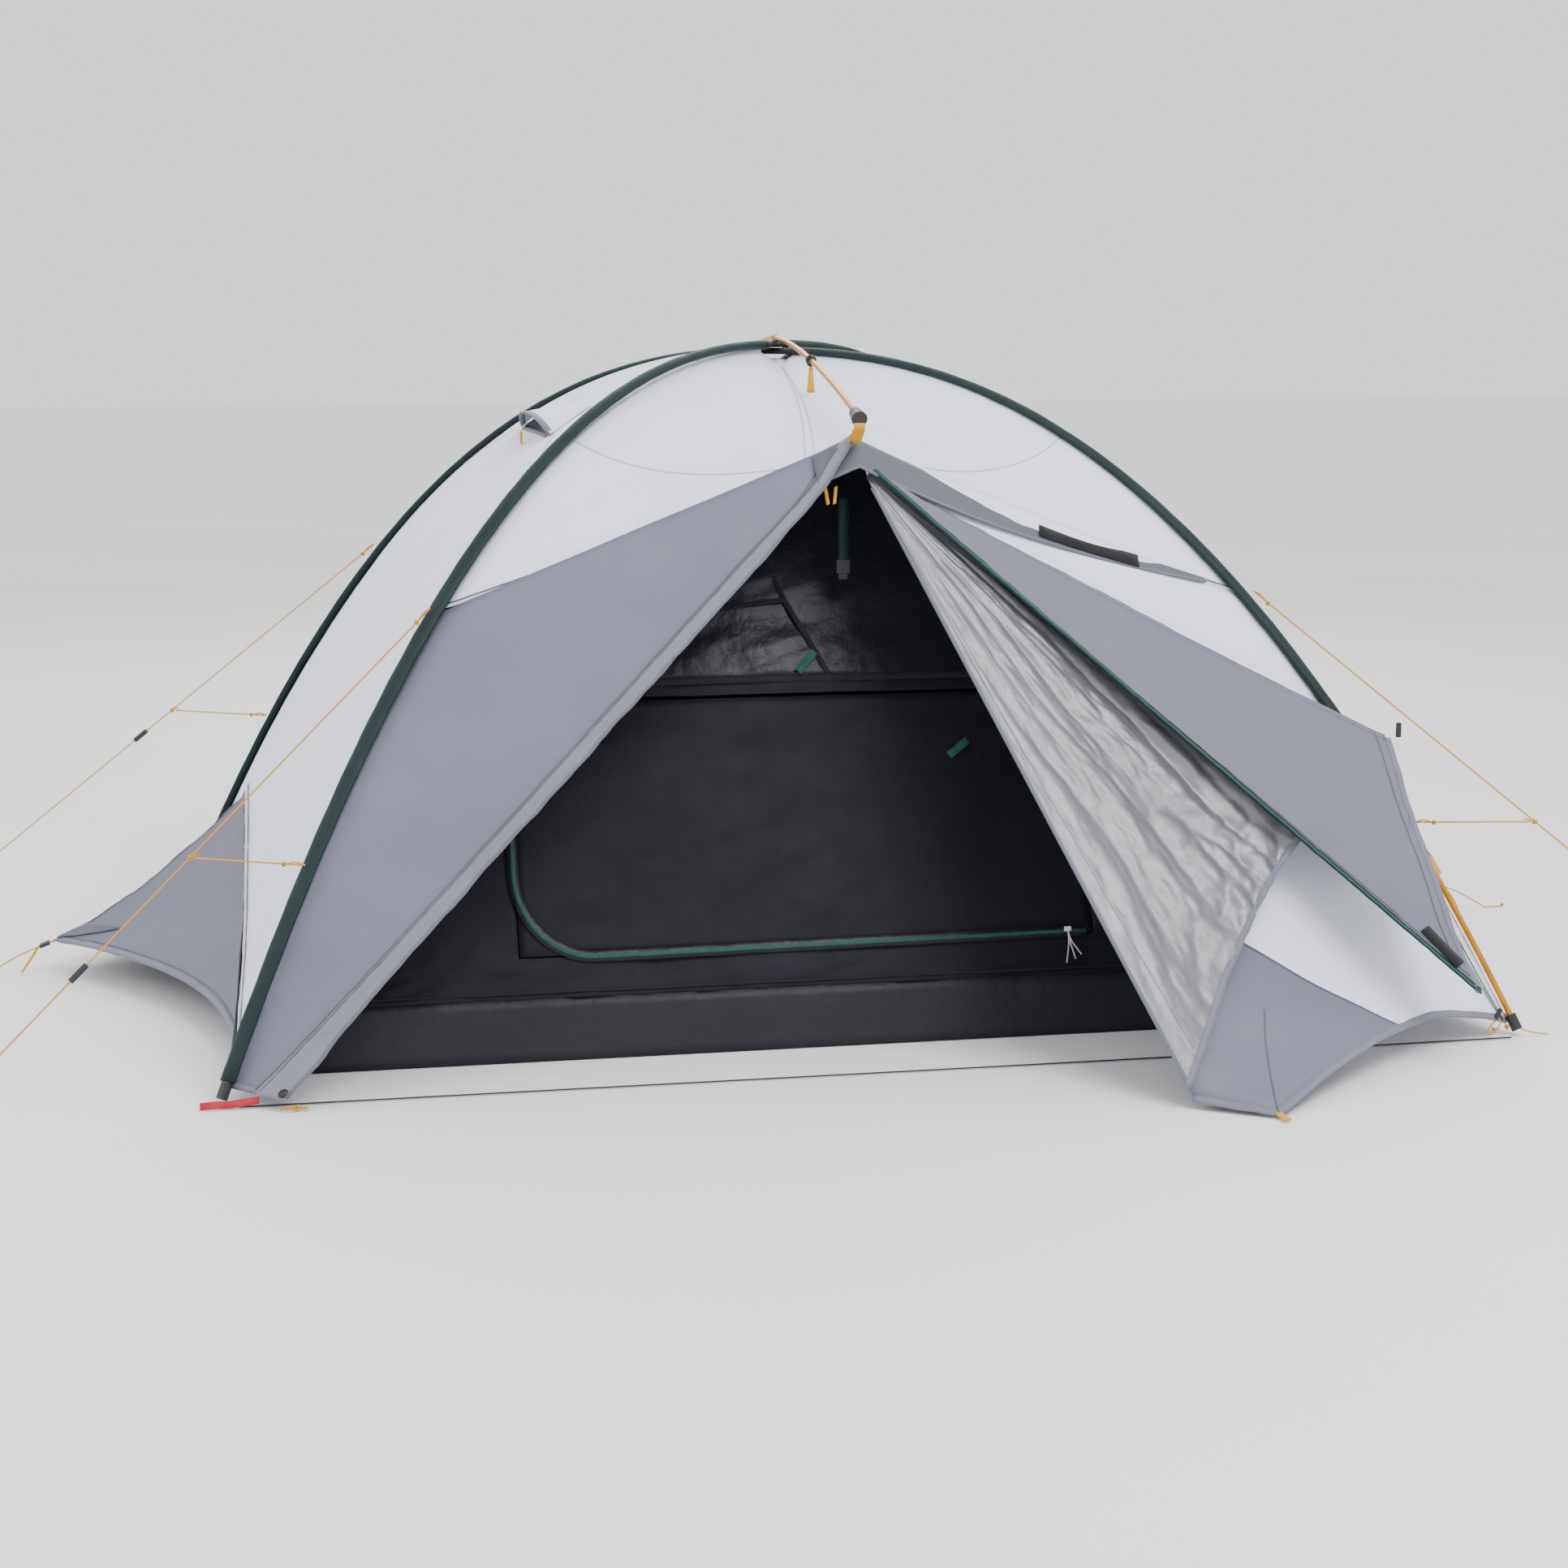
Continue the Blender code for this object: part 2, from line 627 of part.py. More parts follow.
def make_cords():
    for corner_name in CORNERS:
        make_guyline(corner_name)
    for name, side in (("side_guy_left", Vector), ("side_guy_right", turned)):
        peg = side(SIDE_PEG)
        out = side((-1, 0, 0))
        ground = Vector((peg.x, peg.y, CORD_LEVEL))
        run = [peg + out * 0.012 - Vector((0, 0, 0.004)), peg + out * 0.070 - Vector((0, 0, 0.028)),
               ground + out * 0.126, ground + out * 0.165]
        tube(name, smooth(run[:3], 0.012) + run[3:], CORD_RADIUS, (YELLOW, 0.6))
    run = [(-1.070, -1.028), (-0.5, -1.030), (0.4, -1.034), (1.075, -1.028)]
    tube("ground_cord", smooth([(*p, CORD_LEVEL) for p in run], 0.06), CORD_RADIUS, (BLACK, 0.6))


def make_hook():
    hook = Vector(DOOR_HOOK)
    box("door_hook", (0.009, 0.007, 0.026), hook + Vector((0.016, -0.004, 0.018)), (BLACK, 0.5), bevel=0.002)


make_main_pole("main_pole_a", (-1, -1), CROSSING_LIFT)
make_main_pole("main_pole_b", (1, -1), -CROSSING_LIFT)
make_sleeve("sleeve_front_left", (-1, -1), SLEEVE_END_LOW, CROSSING_LIFT)
make_sleeve("sleeve_rear_right", (1, 1), SLEEVE_END_BARE, CROSSING_LIFT)
make_sleeve("sleeve_rear_left", (-1, 1), SLEEVE_END_LOW, -CROSSING_LIFT)
make_sleeve("sleeve_front_right", (1, -1), SLEEVE_END_BARE, -CROSSING_LIFT)
make_foot_cup("foot_cup_front_left", -1, -1, CROSSING_LIFT)
make_foot_cup("foot_cup_rear_right", 1, 1, CROSSING_LIFT)
make_foot_cup("foot_cup_rear_left", -1, 1, -CROSSING_LIFT)
make_foot_cup("foot_cup_front_right", 1, -1, -CROSSING_LIFT)
make_ridge()
make_canopy("canopy_front", Vector)
make_canopy("canopy_rear", turned)
make_side("canopy_left", Vector)
make_side("canopy_right", turned)
make_skirt("skirt_left", Vector)
make_skirt("skirt_right", turned)
make_vestibule_left("vestibule_front_left", Vector)
make_vestibule_left("vestibule_rear_right", turned)
make_vestibule_right("vestibule_front_right", Vector)
make_vestibule_right("vestibule_rear_left", turned)
make_eave()
make_door()
make_rear_door()
make_floor()
make_inner_front()
make_inner_end("inner_wall_rear", 1)
make_inner_side("inner_wall_left", -1)
make_inner_side("inner_wall_right", 1)
make_strap()
make_vent("vent_hood_left", "vent_prop_left", Vector)
make_vent("vent_hood_right", None, turned)
make_zip_sliders()
make_hook()
make_cords()
shade_round()
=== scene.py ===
"""Looks of the dome tent: cloth, seams, zips, webbing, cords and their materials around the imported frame."""
import math

import bmesh
import bpy
from mathutils import Matrix, Vector, noise


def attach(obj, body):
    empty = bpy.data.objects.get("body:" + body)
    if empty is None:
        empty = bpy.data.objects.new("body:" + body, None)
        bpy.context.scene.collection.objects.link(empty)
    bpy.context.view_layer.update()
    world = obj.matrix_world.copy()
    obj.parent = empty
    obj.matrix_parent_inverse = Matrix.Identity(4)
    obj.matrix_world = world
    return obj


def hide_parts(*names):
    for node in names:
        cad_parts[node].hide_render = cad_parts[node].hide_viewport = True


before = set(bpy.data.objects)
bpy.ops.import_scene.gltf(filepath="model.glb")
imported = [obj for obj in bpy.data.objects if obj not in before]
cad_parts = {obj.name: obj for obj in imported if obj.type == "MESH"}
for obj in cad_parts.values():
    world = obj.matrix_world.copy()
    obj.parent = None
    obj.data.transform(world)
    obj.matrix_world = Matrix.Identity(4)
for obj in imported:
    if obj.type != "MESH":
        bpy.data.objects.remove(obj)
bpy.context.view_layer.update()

# The frame's driving dimensions, in metres
HALF_LENGTH, HALF_WIDTH, CROWN_HEIGHT = 1.10, 1.011, 1.159
ARCH_POWER = 2.32
POLE_RADIUS, POLE_END = 0.005, 0.9935
RIDGE_HALF, RIDGE_STEPS, FERRULE_LIFT = 0.690, 96, 0.0004
CROSSING_LIFT = 0.0065
SLEEVE_HALF_WIDTH, SLEEVE_HALF_THICKNESS = 0.016, 0.008
SLEEVE_END_LOW, SLEEVE_END_BARE = 0.035, 0.292
SEAM_GAP, PANEL_INSET, PANEL_TOP = 0.001, 0.0100, 0.03
JOIN_HEIGHT = 0.745
CREST_START, CREST_END = Vector((0, -0.045, 1.126)), Vector((0, -0.640, 1.014))
PANEL_PEAK = Vector((-0.006, -0.664, 0.988))
CLOSE_FOOT = Vector((-1.020, -1.030, 0.014))
DOOR_TOP, DOOR_FOOT = Vector((0.012, -0.672, 0.966)), Vector((0.388, -1.351, 0.020))
REAR_PEAK = (0, -0.668, 0.972)
DOOR_HOOK, DOOR_TIP = Vector((0.910, -0.850, 0.496)), Vector((0.925, -1.200, 0.116))
HINGE_EDGE_TOP, HINGE_EDGE_FOOT = Vector((0.006, -0.652, 0.986)), Vector((0.392, -1.335, 0.016))
LEAF_TOP = 0.015
CORNER_AT, CORNER_SPAN = 0.2, 0.63
HEM_PEG = Vector((0.503, -1.413, 0.006))
SIDE_APEX_HEIGHT, SIDE_FOOT_HEIGHT, SIDE_BULGE = 0.335, 0.045, 0.078
SIDE_PEG = Vector((-1.381, 0.0, 0.062))
INNER_LENGTH, INNER_WIDTH, INNER_HEIGHT = 0.985, 0.855, 1.09
TUB_HEIGHT, WALL_FOOT, INNER_SEAM_HEIGHT, INNER_TOP = 0.10, 0.101, 0.60, 1.045
TUB_HALF, FLOOR_HALF = (0.972, 0.842), (0.970, 0.840)
WALL_INSET = 0.006
DOORWAY = (-0.600, 0.400, 0.165, 0.575)
CORD_RADIUS, CORD_LEVEL = 0.0014, 0.0020
CLOTH = 0.0009
SLEEVE_LOOPS, SLEEVE_SIDES, POLE_SIDES = 90, 16, 16


def lerp(a, b, t):
    return Vector(a) * (1 - t) + Vector(b) * t


def mix(low, high, t):
    return low + (high - low) * t


def turned(p):
    return Vector((-p[0], -p[1], p[2]))


def steps(start, end, count):
    return [mix(start, end, i / count) for i in range(count + 1)]


def unit(count):
    return steps(0.0, 1.0, count)


def signed(count):
    return steps(-1.0, 1.0, count)


def hump(t):
    """0 at both ends of the unit run, 1 in its middle."""
    return math.sin(math.pi * t)


def up(height):
    return Vector((0, 0, height))


def arch(height):
    return max(0.0, 1 - height / CROWN_HEIGHT) ** (1 / ARCH_POWER)


def pole_height(reach, lift=0.0):
    return (CROWN_HEIGHT + lift) * (1 - max(0.0, reach) ** ARCH_POWER)


def pole_point(sx, sy, reach, lift=0.0):
    return Vector((sx * HALF_LENGTH * reach, sy * HALF_WIDTH * reach, pole_height(reach, lift)))


def pole_frame(sx, sy, reach):
    low = pole_point(sx, sy, min(1.0, reach + 0.002))
    high = pole_point(sx, sy, max(0.0, reach - 0.002))
    along = (low - high).normalized()
    across = Vector((-sy * HALF_WIDTH, sx * HALF_LENGTH, 0)).normalized()
    normal = along.cross(across)
    if normal.dot(Vector((sx, sy, 1.0))) < 0:
        normal = -normal
    return normal.normalized(), across


def seam_point(sx, sy, height, toward):
    reach = arch(height)
    normal, across = pole_frame(sx, sy, reach)
    if across.dot(Vector(toward)) < 0:
        across = -across
    return pole_point(sx, sy, reach) - normal * PANEL_INSET + across * SEAM_GAP


def ridge_point(y):
    return Vector((0, y, 1.177 - 0.222 * abs(y) ** 1.6))


def ridge(p, size, seed=0.0):
    """Noise folded at its middle, so its crests are sharp like creases."""
    return 1 - 4 * abs(ripple(p, size, seed)) ** 0.8


def ripple(p, size, seed=0.0):
    return noise.noise(Vector(p) / size + Vector((seed, seed * 0.37, -seed)))


# The copies turned half a turn: the rear ones of the front, the right ones of the left
DOORS, ENDS = (("front", Vector), ("rear", turned)), (("left", Vector), ("right", turned))


# Camera

camera = bpy.data.objects.new("camera", bpy.data.cameras.new("camera"))
camera.data.sensor_width = 36.0
camera.data.lens = 67.35
camera.location = (-1.1463, -5.5574, 1.249)
YAW, PITCH = 0.2064, -0.1636
aim = Vector((math.sin(YAW) * math.cos(PITCH), math.cos(YAW) * math.cos(PITCH), math.sin(PITCH)))
camera.rotation_euler = aim.to_track_quat("-Z", "Y").to_euler()
bpy.context.scene.collection.objects.link(camera)
bpy.context.scene.camera = camera


# Materials

class Nodes:
    """Short names for building one material's node tree."""

    def __init__(self, name):
        self.material = bpy.data.materials.new(name)
        self.material.use_nodes = True
        self.tree = self.material.node_tree
        self.shader = self.tree.nodes["Principled BSDF"]
        self.place = self.add("ShaderNodeTexCoord").outputs["Object"]

    def add(self, kind, **values):
        made = self.tree.nodes.new(kind)
        for key, value in values.items():
            if key in made.inputs:
                made.inputs[key].default_value = value
            else:
                setattr(made, key, value)
        return made

    def link(self, out, into):
        self.tree.links.new(out, into)

    def noise(self, scale, detail=3.0):
        made = self.add("ShaderNodeTexNoise", Scale=scale, Detail=detail)
        self.link(self.place, made.inputs["Vector"])
        return made.outputs["Fac"]

    def wave(self, scale, direction="X", distortion=0.0):
        made = self.add("ShaderNodeTexWave", Scale=scale, Distortion=distortion, bands_direction=direction)
        self.link(self.place, made.inputs["Vector"])
        return made.outputs["Fac"]

    def ramp(self, value, low, high, start=0.3, end=0.7):
        made = self.add("ShaderNodeValToRGB")
        made.color_ramp.elements[0].position = start
        made.color_ramp.elements[0].color = (*low, 1)
        made.color_ramp.elements[1].position = end
        made.color_ramp.elements[1].color = (*high, 1)
        self.link(value, made.inputs["Fac"])
        return made.outputs["Color"]

    def math(self, how, a, b):
        made = self.add("ShaderNodeMath", operation=how)
        for socket, value in zip(made.inputs, (a, b)):
            if isinstance(value, (int, float)):
                socket.default_value = value
            else:
                self.link(value, socket)
        return made.outputs[0]

    def bump(self, height, strength, distance, under=None):
        made = self.add("ShaderNodeBump", Strength=strength, Distance=distance)
        self.link(height, made.inputs["Height"])
        if under is not None:
            self.link(under, made.inputs["Normal"])
        return made.outputs["Normal"]

    def set(self, **values):
        for key, value in values.items():
            self.shader.inputs[key.replace("_", " ")].default_value = value

    def colour(self, value, colour, low, high):
        """Base colour between low and high times the colour."""
        dark, light = (tuple(min(1.0, c * by) for c in colour) for by in (low, high))
        self.link(self.ramp(value, dark, light), self.shader.inputs["Base Color"])

    def rough(self, value, spread, base):
        spread_value = self.math("MULTIPLY", value, spread)
        self.link(self.math("ADD", spread_value, base), self.shader.inputs["Roughness"])

    def relief(self, height, strength, distance, under=None):
        self.link(self.bump(height, strength, distance, under), self.shader.inputs["Normal"])


def fabric(name, colour, rough, sheen, crease, vary, weave=420.0, grid=0.0, metallic=0.0, gleam=0.5):
    """Woven cloth: fine weave, soft creases, faint mottling, and a ripstop grid where it has one."""
    n = Nodes(name)
    n.colour(n.noise(5.0, 6.0), colour, 1 - vary, 1 + vary * 0.6)
    n.rough(n.noise(22.0, 4.0), 0.22, rough - 0.11)
    threads = n.math("ADD", n.wave(weave, "X"), n.wave(weave, "Z"))
    if grid:
        lines = n.math("ADD", *(n.math("POWER", n.wave(grid, way), 14.0) for way in "YZ"))
        threads = n.math("ADD", threads, n.math("MULTIPLY", lines, 2.0))
    fine = n.bump(threads, 0.10, 0.0004)
    folds = n.bump(n.noise(11.0, 5.0), crease * 0.5, 0.010, fine)
    n.relief(n.noise(38.0, 3.0), crease, 0.0025, folds)
    n.set(Metallic=metallic, Sheen_Weight=sheen, Sheen_Roughness=0.4, Specular_IOR_Level=gleam)
    return n.material


def tube_metal(name, colour):
    """Anodised tube: fine drawn lines and faint rubbing."""
    n = Nodes(name)
    n.colour(n.noise(30.0, 4.0), colour, 0.82, 1.05)
    n.rough(n.noise(90.0), 0.20, 0.20)
    n.relief(n.noise(700.0), 0.06, 0.0003)
    n.set(Metallic=0.85)
    return n.material


def plastic(name, colour):
    n = Nodes(name)
    n.colour(n.noise(40.0, 4.0), colour, 0.8, 1.25)
    n.rough(n.noise(120.0), 0.2, 0.35)
    n.relief(n.noise(900.0), 0.15, 0.0003)
    return n.material


def webbing(name, colour, rib=260.0):
    """Woven tape: close ribs, worn lighter in places."""
    n = Nodes(name)
    n.colour(n.noise(60.0, 5.0), colour, 0.72, 1.12)
    n.rough(n.noise(200.0), 0.2, 0.6)
    n.relief(n.math("ADD", n.wave(rib, "Z"), n.wave(rib * 0.7, "X")), 0.5, 0.0006)
    n.set(Sheen_Weight=0.05)
    return n.material


def braid(name, colour):
    n = Nodes(name)
    twist = n.wave(420.0, "DIAGONAL")
    n.colour(twist, colour, 0.62, 1.1)
    n.rough(n.noise(300.0), 0.2, 0.6)
    n.relief(twist, 0.7, 0.0006)
    n.set(Sheen_Weight=0.05)
    return n.material


# Each look's name, material slot, maker, colour, and for cloth its roughness, sheen, crease and mottling
LOOKS = (
    ("fly_white", "fly_white", fabric, (0.80, 0.83, 0.93), (0.66, 0.25, 0.16, 0.03), {"grid": 38.0}),
    ("fly_grey", "fly_grey", fabric, (0.142, 0.142, 0.192), (0.6, 0.08, 0.22, 0.06), {}),
    ("fly_grey_dark", "fly_grey", fabric, (0.084, 0.084, 0.112), (0.6, 0.25, 0.3, 0.10), {}),
    ("fly_grey_light", "fly_grey", fabric, (0.185, 0.185, 0.240), (0.5, 0.25, 0.7, 0.10), {}),
    # The eave's grey is darker than the fly's grey: painted shade on the visor, which faces down.
    ("eave_grey", "fly_grey", fabric, (0.085, 0.095, 0.115), (0.6, 0.25, 0.3, 0.10), {}),
    ("binding", "fly_grey", fabric, (0.165, 0.165, 0.215), (0.7, 0.25, 0.4, 0.12), {"weave": 900.0}),
    ("stitch", "fly_grey", fabric, (0.085, 0.085, 0.105), (0.8, 0.25, 0.2, 0.3), {"weave": 1500.0}),
    ("seam_white", "fly_white", fabric, (0.50, 0.53, 0.59), (0.7, 0.25, 0.3, 0.12), {"weave": 1500.0}),
    ("seam_grey", "fly_grey", fabric, (0.122, 0.122, 0.165), (0.7, 0.25, 0.5, 0.14), {"weave": 1200.0}),
    ("seam_silver", "door_silver", fabric, (0.30, 0.30, 0.33), (0.6, 0.25, 0.5, 0.2), {"weave": 1200.0}),
    ("silver", "door_silver", fabric, (0.21, 0.21, 0.225), (0.40, 0.0, 0.60, 0.08), {"metallic": 0.50}),
    ("inner", "inner_charcoal", fabric, (0.0095, 0.0095, 0.0145), (0.62, 0.0, 0.35, 0.2),
     {"grid": 45.0, "gleam": 0.16}),
    ("inner_gloss", "inner_mesh", fabric, (0.012, 0.012, 0.018), (0.34, 0.0, 0.9, 0.25), {"gleam": 0.24}),
    ("tub", "inner_charcoal", fabric, (0.013, 0.013, 0.019), (0.5, 0.0, 0.7, 0.2), {"gleam": 0.28}),
    ("green", "sleeve_green", fabric, (0.003, 0.017, 0.016), (0.62, 0.02, 0.4, 0.18),
     {"weave": 600.0, "gleam": 0.3}),
    ("crown", "sleeve_green", fabric, (0.005, 0.007, 0.008), (0.6, 0.02, 0.4, 0.2), {}),
    ("velcro", "plastic_black", fabric, (0.005, 0.005, 0.006), (0.9, 0.06, 0.8, 0.10), {"weave": 1800.0}),
    ("green_zip", "sleeve_green", webbing, (0.004, 0.085, 0.062), (), {"rib": 500.0}),
    ("yellow", "webbing_yellow", webbing, (0.80, 0.36, 0.004), (), {}),
    ("red", "webbing_yellow", webbing, (0.55, 0.012, 0.03), (), {}),
    ("gold", "pole_gold", tube_metal, (0.66, 0.27, 0.022), (), {}),
    ("black", "plastic_black", plastic, (0.012, 0.012, 0.013), (), {}),
    ("pull_white", "fly_white", plastic, (0.72, 0.72, 0.74), (), {}),
    ("cord", "cord_yellow", braid, (0.82, 0.38, 0.01), (), {}),
    ("cord_dark", "cord_black", braid, (0.035, 0.035, 0.04), (), {}),
    ("cord_white", "fly_white", braid, (0.75, 0.75, 0.74), (), {}),
)
LOOK = {name: maker(name, colour, *feel, **more) for name, _, maker, colour, feel, more in LOOKS}
SLOT = {row[0]: row[1] for row in LOOKS}


# Makers

def round_angles(count):
    return [2 * math.pi * k / count for k in range(count)]


def skin(rings, closed=False):
    """A mesh with faces between neighbouring rows of points, and its rows; closed rows are rings."""
    work = bmesh.new()
    rings = [[work.verts.new(p) for p in ring] for ring in rings]
    for a, b in zip(rings, rings[1:]):
        for k in range(len(a) if closed else len(a) - 1):
            after = (k + 1) % len(a)
            work.faces.new((a[k], a[after], b[after], b[k]))
    return work, rings


def finish_mesh(name, work, look, smooth=True):
    bmesh.ops.recalc_face_normals(work, faces=work.faces)
    mesh = bpy.data.meshes.new(name)
    work.to_mesh(mesh)
    work.free()
    made = bpy.data.objects.new(name, mesh)
    mesh.materials.append(LOOK[look])
    bpy.context.scene.collection.objects.link(made)
    for face in mesh.polygons:
        face.use_smooth = smooth
    return made


def thicken(made, thickness, offset=0.0):
    solid = made.modifiers.new("thickness", "SOLIDIFY")
    solid.thickness = thickness
    solid.offset = offset
    solid.use_even_offset = False


def settle(made, look, body="root", nodes=(), slot=None):
    """Rides a piece on its body in place of its CAD nodes."""
    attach(made, body)
    if nodes:
        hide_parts(*nodes)
    slot or SLOT[look]
    return made


def shell(name, rings, look, thickness, offset=0.0, closed=False, body="root", nodes=()):
    """A thickened skin over rings of points."""
    made = finish_mesh(name, skin(rings, closed)[0], look)
    thicken(made, thickness, offset)
    return settle(made, look, body, nodes)


def normal_at(surface, u, v):
    d = 0.004
    made = (surface(u + d, v) - surface(u - d, v)).cross(surface(u, v + d) - surface(u, v - d))
    return made.normalized() if made.length > 1e-9 else Vector((0, 0, 1))


def pushed(surface, wrinkle):
    """The surface with its wrinkles: each point moved along the normal by wrinkle(u, v, point)."""
    def at(u, v):
        p = surface(u, v)
        return p + normal_at(surface, u, v) * wrinkle(u, v, p)
    return at


def run_length(points):
    return sum((b - a).length for a, b in zip(points, points[1:]))


def grid_mesh(surface, us, vs, wrinkle=None):
    form = pushed(surface, wrinkle) if wrinkle else surface
    points = [[form(u, v) for u in us] for v in vs]
    work, _ = skin(points)
    bmesh.ops.remove_doubles(work, verts=work.verts, dist=0.00005)
    width, length = (round(max(map(run_length, lines)), 3) for lines in (points, zip(*points)))
    return work, (width, length), sum(face.calc_area() for face in work.faces)


def cloth(name, surface, us, vs, look, body="root", nodes=(), wrinkle=None):
    """One cut of cloth; its flat size and area are worked out but not kept."""
    work, flat, area = grid_mesh(surface, us, vs, wrinkle)
    made = finish_mesh(name, work, look)
    thicken(made, CLOTH)
    settle(made, look, body, nodes)
    if area < 0.4 * flat[0] * flat[1]:
        # a triangle lies flat in a rectangle of twice its area
        flat = (flat[0], round(2 * area / flat[0], 3))
    area = min(area, 0.999 * flat[0] * flat[1])
    return made


def ribbon(name, points, across, width, look, body="root", thickness=0.0008, nodes=(), drift=0.0, slot=None):
    """A tape along points; across is its width's direction, one for all or a list of one for each."""
    rows = []
    for i, p in enumerate(points):
        side = Vector(across[i] if isinstance(across, list) else across).normalized() * width / 2
        shift = up(drift * ripple(p, 0.02))
        rows.append([Vector(p) - side + shift, Vector(p) + shift * 1.4, Vector(p) + side + shift])
    made = finish_mesh(name, skin(rows)[0], look)
    thicken(made, thickness)
    return settle(made, look, body, nodes, slot)


def line_back(made, look, facing):
    """Gives cloth another colour on its back: the side turned away from facing at rest."""
    mesh = made.data
    lean = sum((face.normal * face.area for face in mesh.polygons), Vector())
    if lean.dot(facing) < 0:
        mesh.flip_normals()
    mesh.materials.append(LOOK[look])
    made.modifiers["thickness"].material_offset = 1


def on_surface(surface, path, lift):
    """Points and width directions of a tape that lies on a surface; path is a list of (u, v)."""
    points, sides, normals = [], [], []
    spots = [surface(u, v) for u, v in path]
    for i, (u, v) in enumerate(path):
        normal = normal_at(surface, u, v)
        along = (spots[min(i + 1, len(spots) - 1)] - spots[max(i - 1, 0)]).normalized()
        outward = normal if normal.dot(Vector((spots[i].x, spots[i].y, 0.6))) > 0 else -normal
        points.append(spots[i] + outward * lift)
        sides.append(along.cross(outward))
        normals.append(outward)
    return points, sides, normals


def wire(name, points, radius, look, resolution=3):
    curve = bpy.data.curves.new(name, "CURVE")
    curve.dimensions = "3D"
    curve.bevel_depth = radius
    curve.bevel_resolution = resolution
    curve.use_fill_caps = True
    spline = curve.splines.new("POLY")
    spline.points.add(len(points) - 1)
    for spot, p in zip(spline.points, points):
        spot.co = (*p, 1)
    curve.materials.append(LOOK[look])
    made = bpy.data.objects.new(name, curve)
    bpy.context.scene.collection.objects.link(made)
    return made


def rounded_tube(name, points, radius, look, body="root", nodes=(), sides=8):
    """A closed round tube along points; radius is one for all or a list of one for each."""
    rings = []
    for i, p in enumerate(points):
        along = (points[min(i + 1, len(points) - 1)] - points[max(i - 1, 0)]).normalized()
        turn = along.to_track_quat("Z", "Y").to_matrix()
        r = radius[i] if isinstance(radius, list) else radius
        rings.append([Vector(p) + turn @ Vector((r * math.cos(a), r * math.sin(a), 0))
                      for a in round_angles(sides)])
    work, rings = skin(rings, closed=True)
    work.faces.new(rings[0])
    work.faces.new(rings[-1])
    made = finish_mesh(name, work, look)
    made.data.set_sharp_from_angle(angle=math.radians(45))
    return settle(made, look, body, nodes)


def knot(name, at, direction, size):
    """A small overhand knot: a trefoil of cord around the line."""
    turn = Vector(direction).to_track_quat("Z", "Y").to_matrix()
    points = []
    for t in steps(0.0, 2 * math.pi, 40):
        trefoil = Vector((math.sin(t) + 2 * math.sin(2 * t), math.cos(t) - 2 * math.cos(2 * t),
                          -math.sin(3 * t) * 1.6))
        points.append(Vector(at) + turn @ (trefoil * size / 3))
    return rounded_tube(name, points, CORD_RADIUS * 0.95, "cord")


def block(name, size, at, body="root", bevel=0.002, tilt=0.0):
    """A black plastic block with soft edges, tilted about Y."""
    work = bmesh.new()
    bmesh.ops.create_cube(work, size=1.0, matrix=Matrix.Diagonal((*size, 1)))
    made = finish_mesh(name, work, "black", smooth=False)
    made.matrix_world = Matrix.Translation(at) @ Matrix.Rotation(tilt, 4, "Y")
    soft = made.modifiers.new("edges", "BEVEL")
    soft.width = bevel
    soft.segments = 3
    settle(made, "black", body)


# Cords

CORNERS = {"front_left": (-1, -1), "rear_left": (-1, 1), "front_right": (1, -1), "rear_right": (1, 1)}
GUY_GROUND = {"front_left": (-1.535, -1.050), "rear_left": (-1.580, 1.108),
              "front_right": (1.508, -1.323), "rear_right": (1.580, 1.108)}
GUY_HEIGHT, BRANCH_HEIGHT, KNOT_AT, GUY_LOOP = 0.727, 0.345, 0.50, 0.035


def on_sleeve(corner, height):
    reach = arch(height)
    normal, _ = pole_frame(*corner, reach)
    return pole_point(*corner, reach) + normal * (SLEEVE_HALF_THICKNESS + 0.009)


def smooth(points, spacing):
    spots = [Vector(p) for p in points]
    ends = [spots[0] * 2 - spots[1]] + spots + [spots[-1] * 2 - spots[-2]]
    out = []
    for a, b, c, d in zip(ends, ends[1:], ends[2:], ends[3:]):
        count = max(1, round((c - b).length / spacing))
        for i in range(count):
            t = i / count
            out.append(0.5 * (2 * b + (c - a) * t + (2 * a - 5 * b + 4 * c - d) * t * t
                              + (3 * b - a - 3 * c + d) * t ** 3))
    out.append(spots[-1])
    return out


def guy_loop(start, ground):
    level = Vector((ground.x - start.x, ground.y - start.y, 0)).normalized()
    spread = Vector((-level.y, level.x, 0))
    half, bulge = level * GUY_LOOP * 0.5, spread * GUY_LOOP * 0.35
    return [ground + half + bulge, ground + half * 2, ground + half - bulge]


def free_cord(name, points, look, node):
    made = wire(name, points, CORD_RADIUS, look)
    settle(made, look, nodes=[node])
    tuple(points[0])
    round(run_length(points), 4)


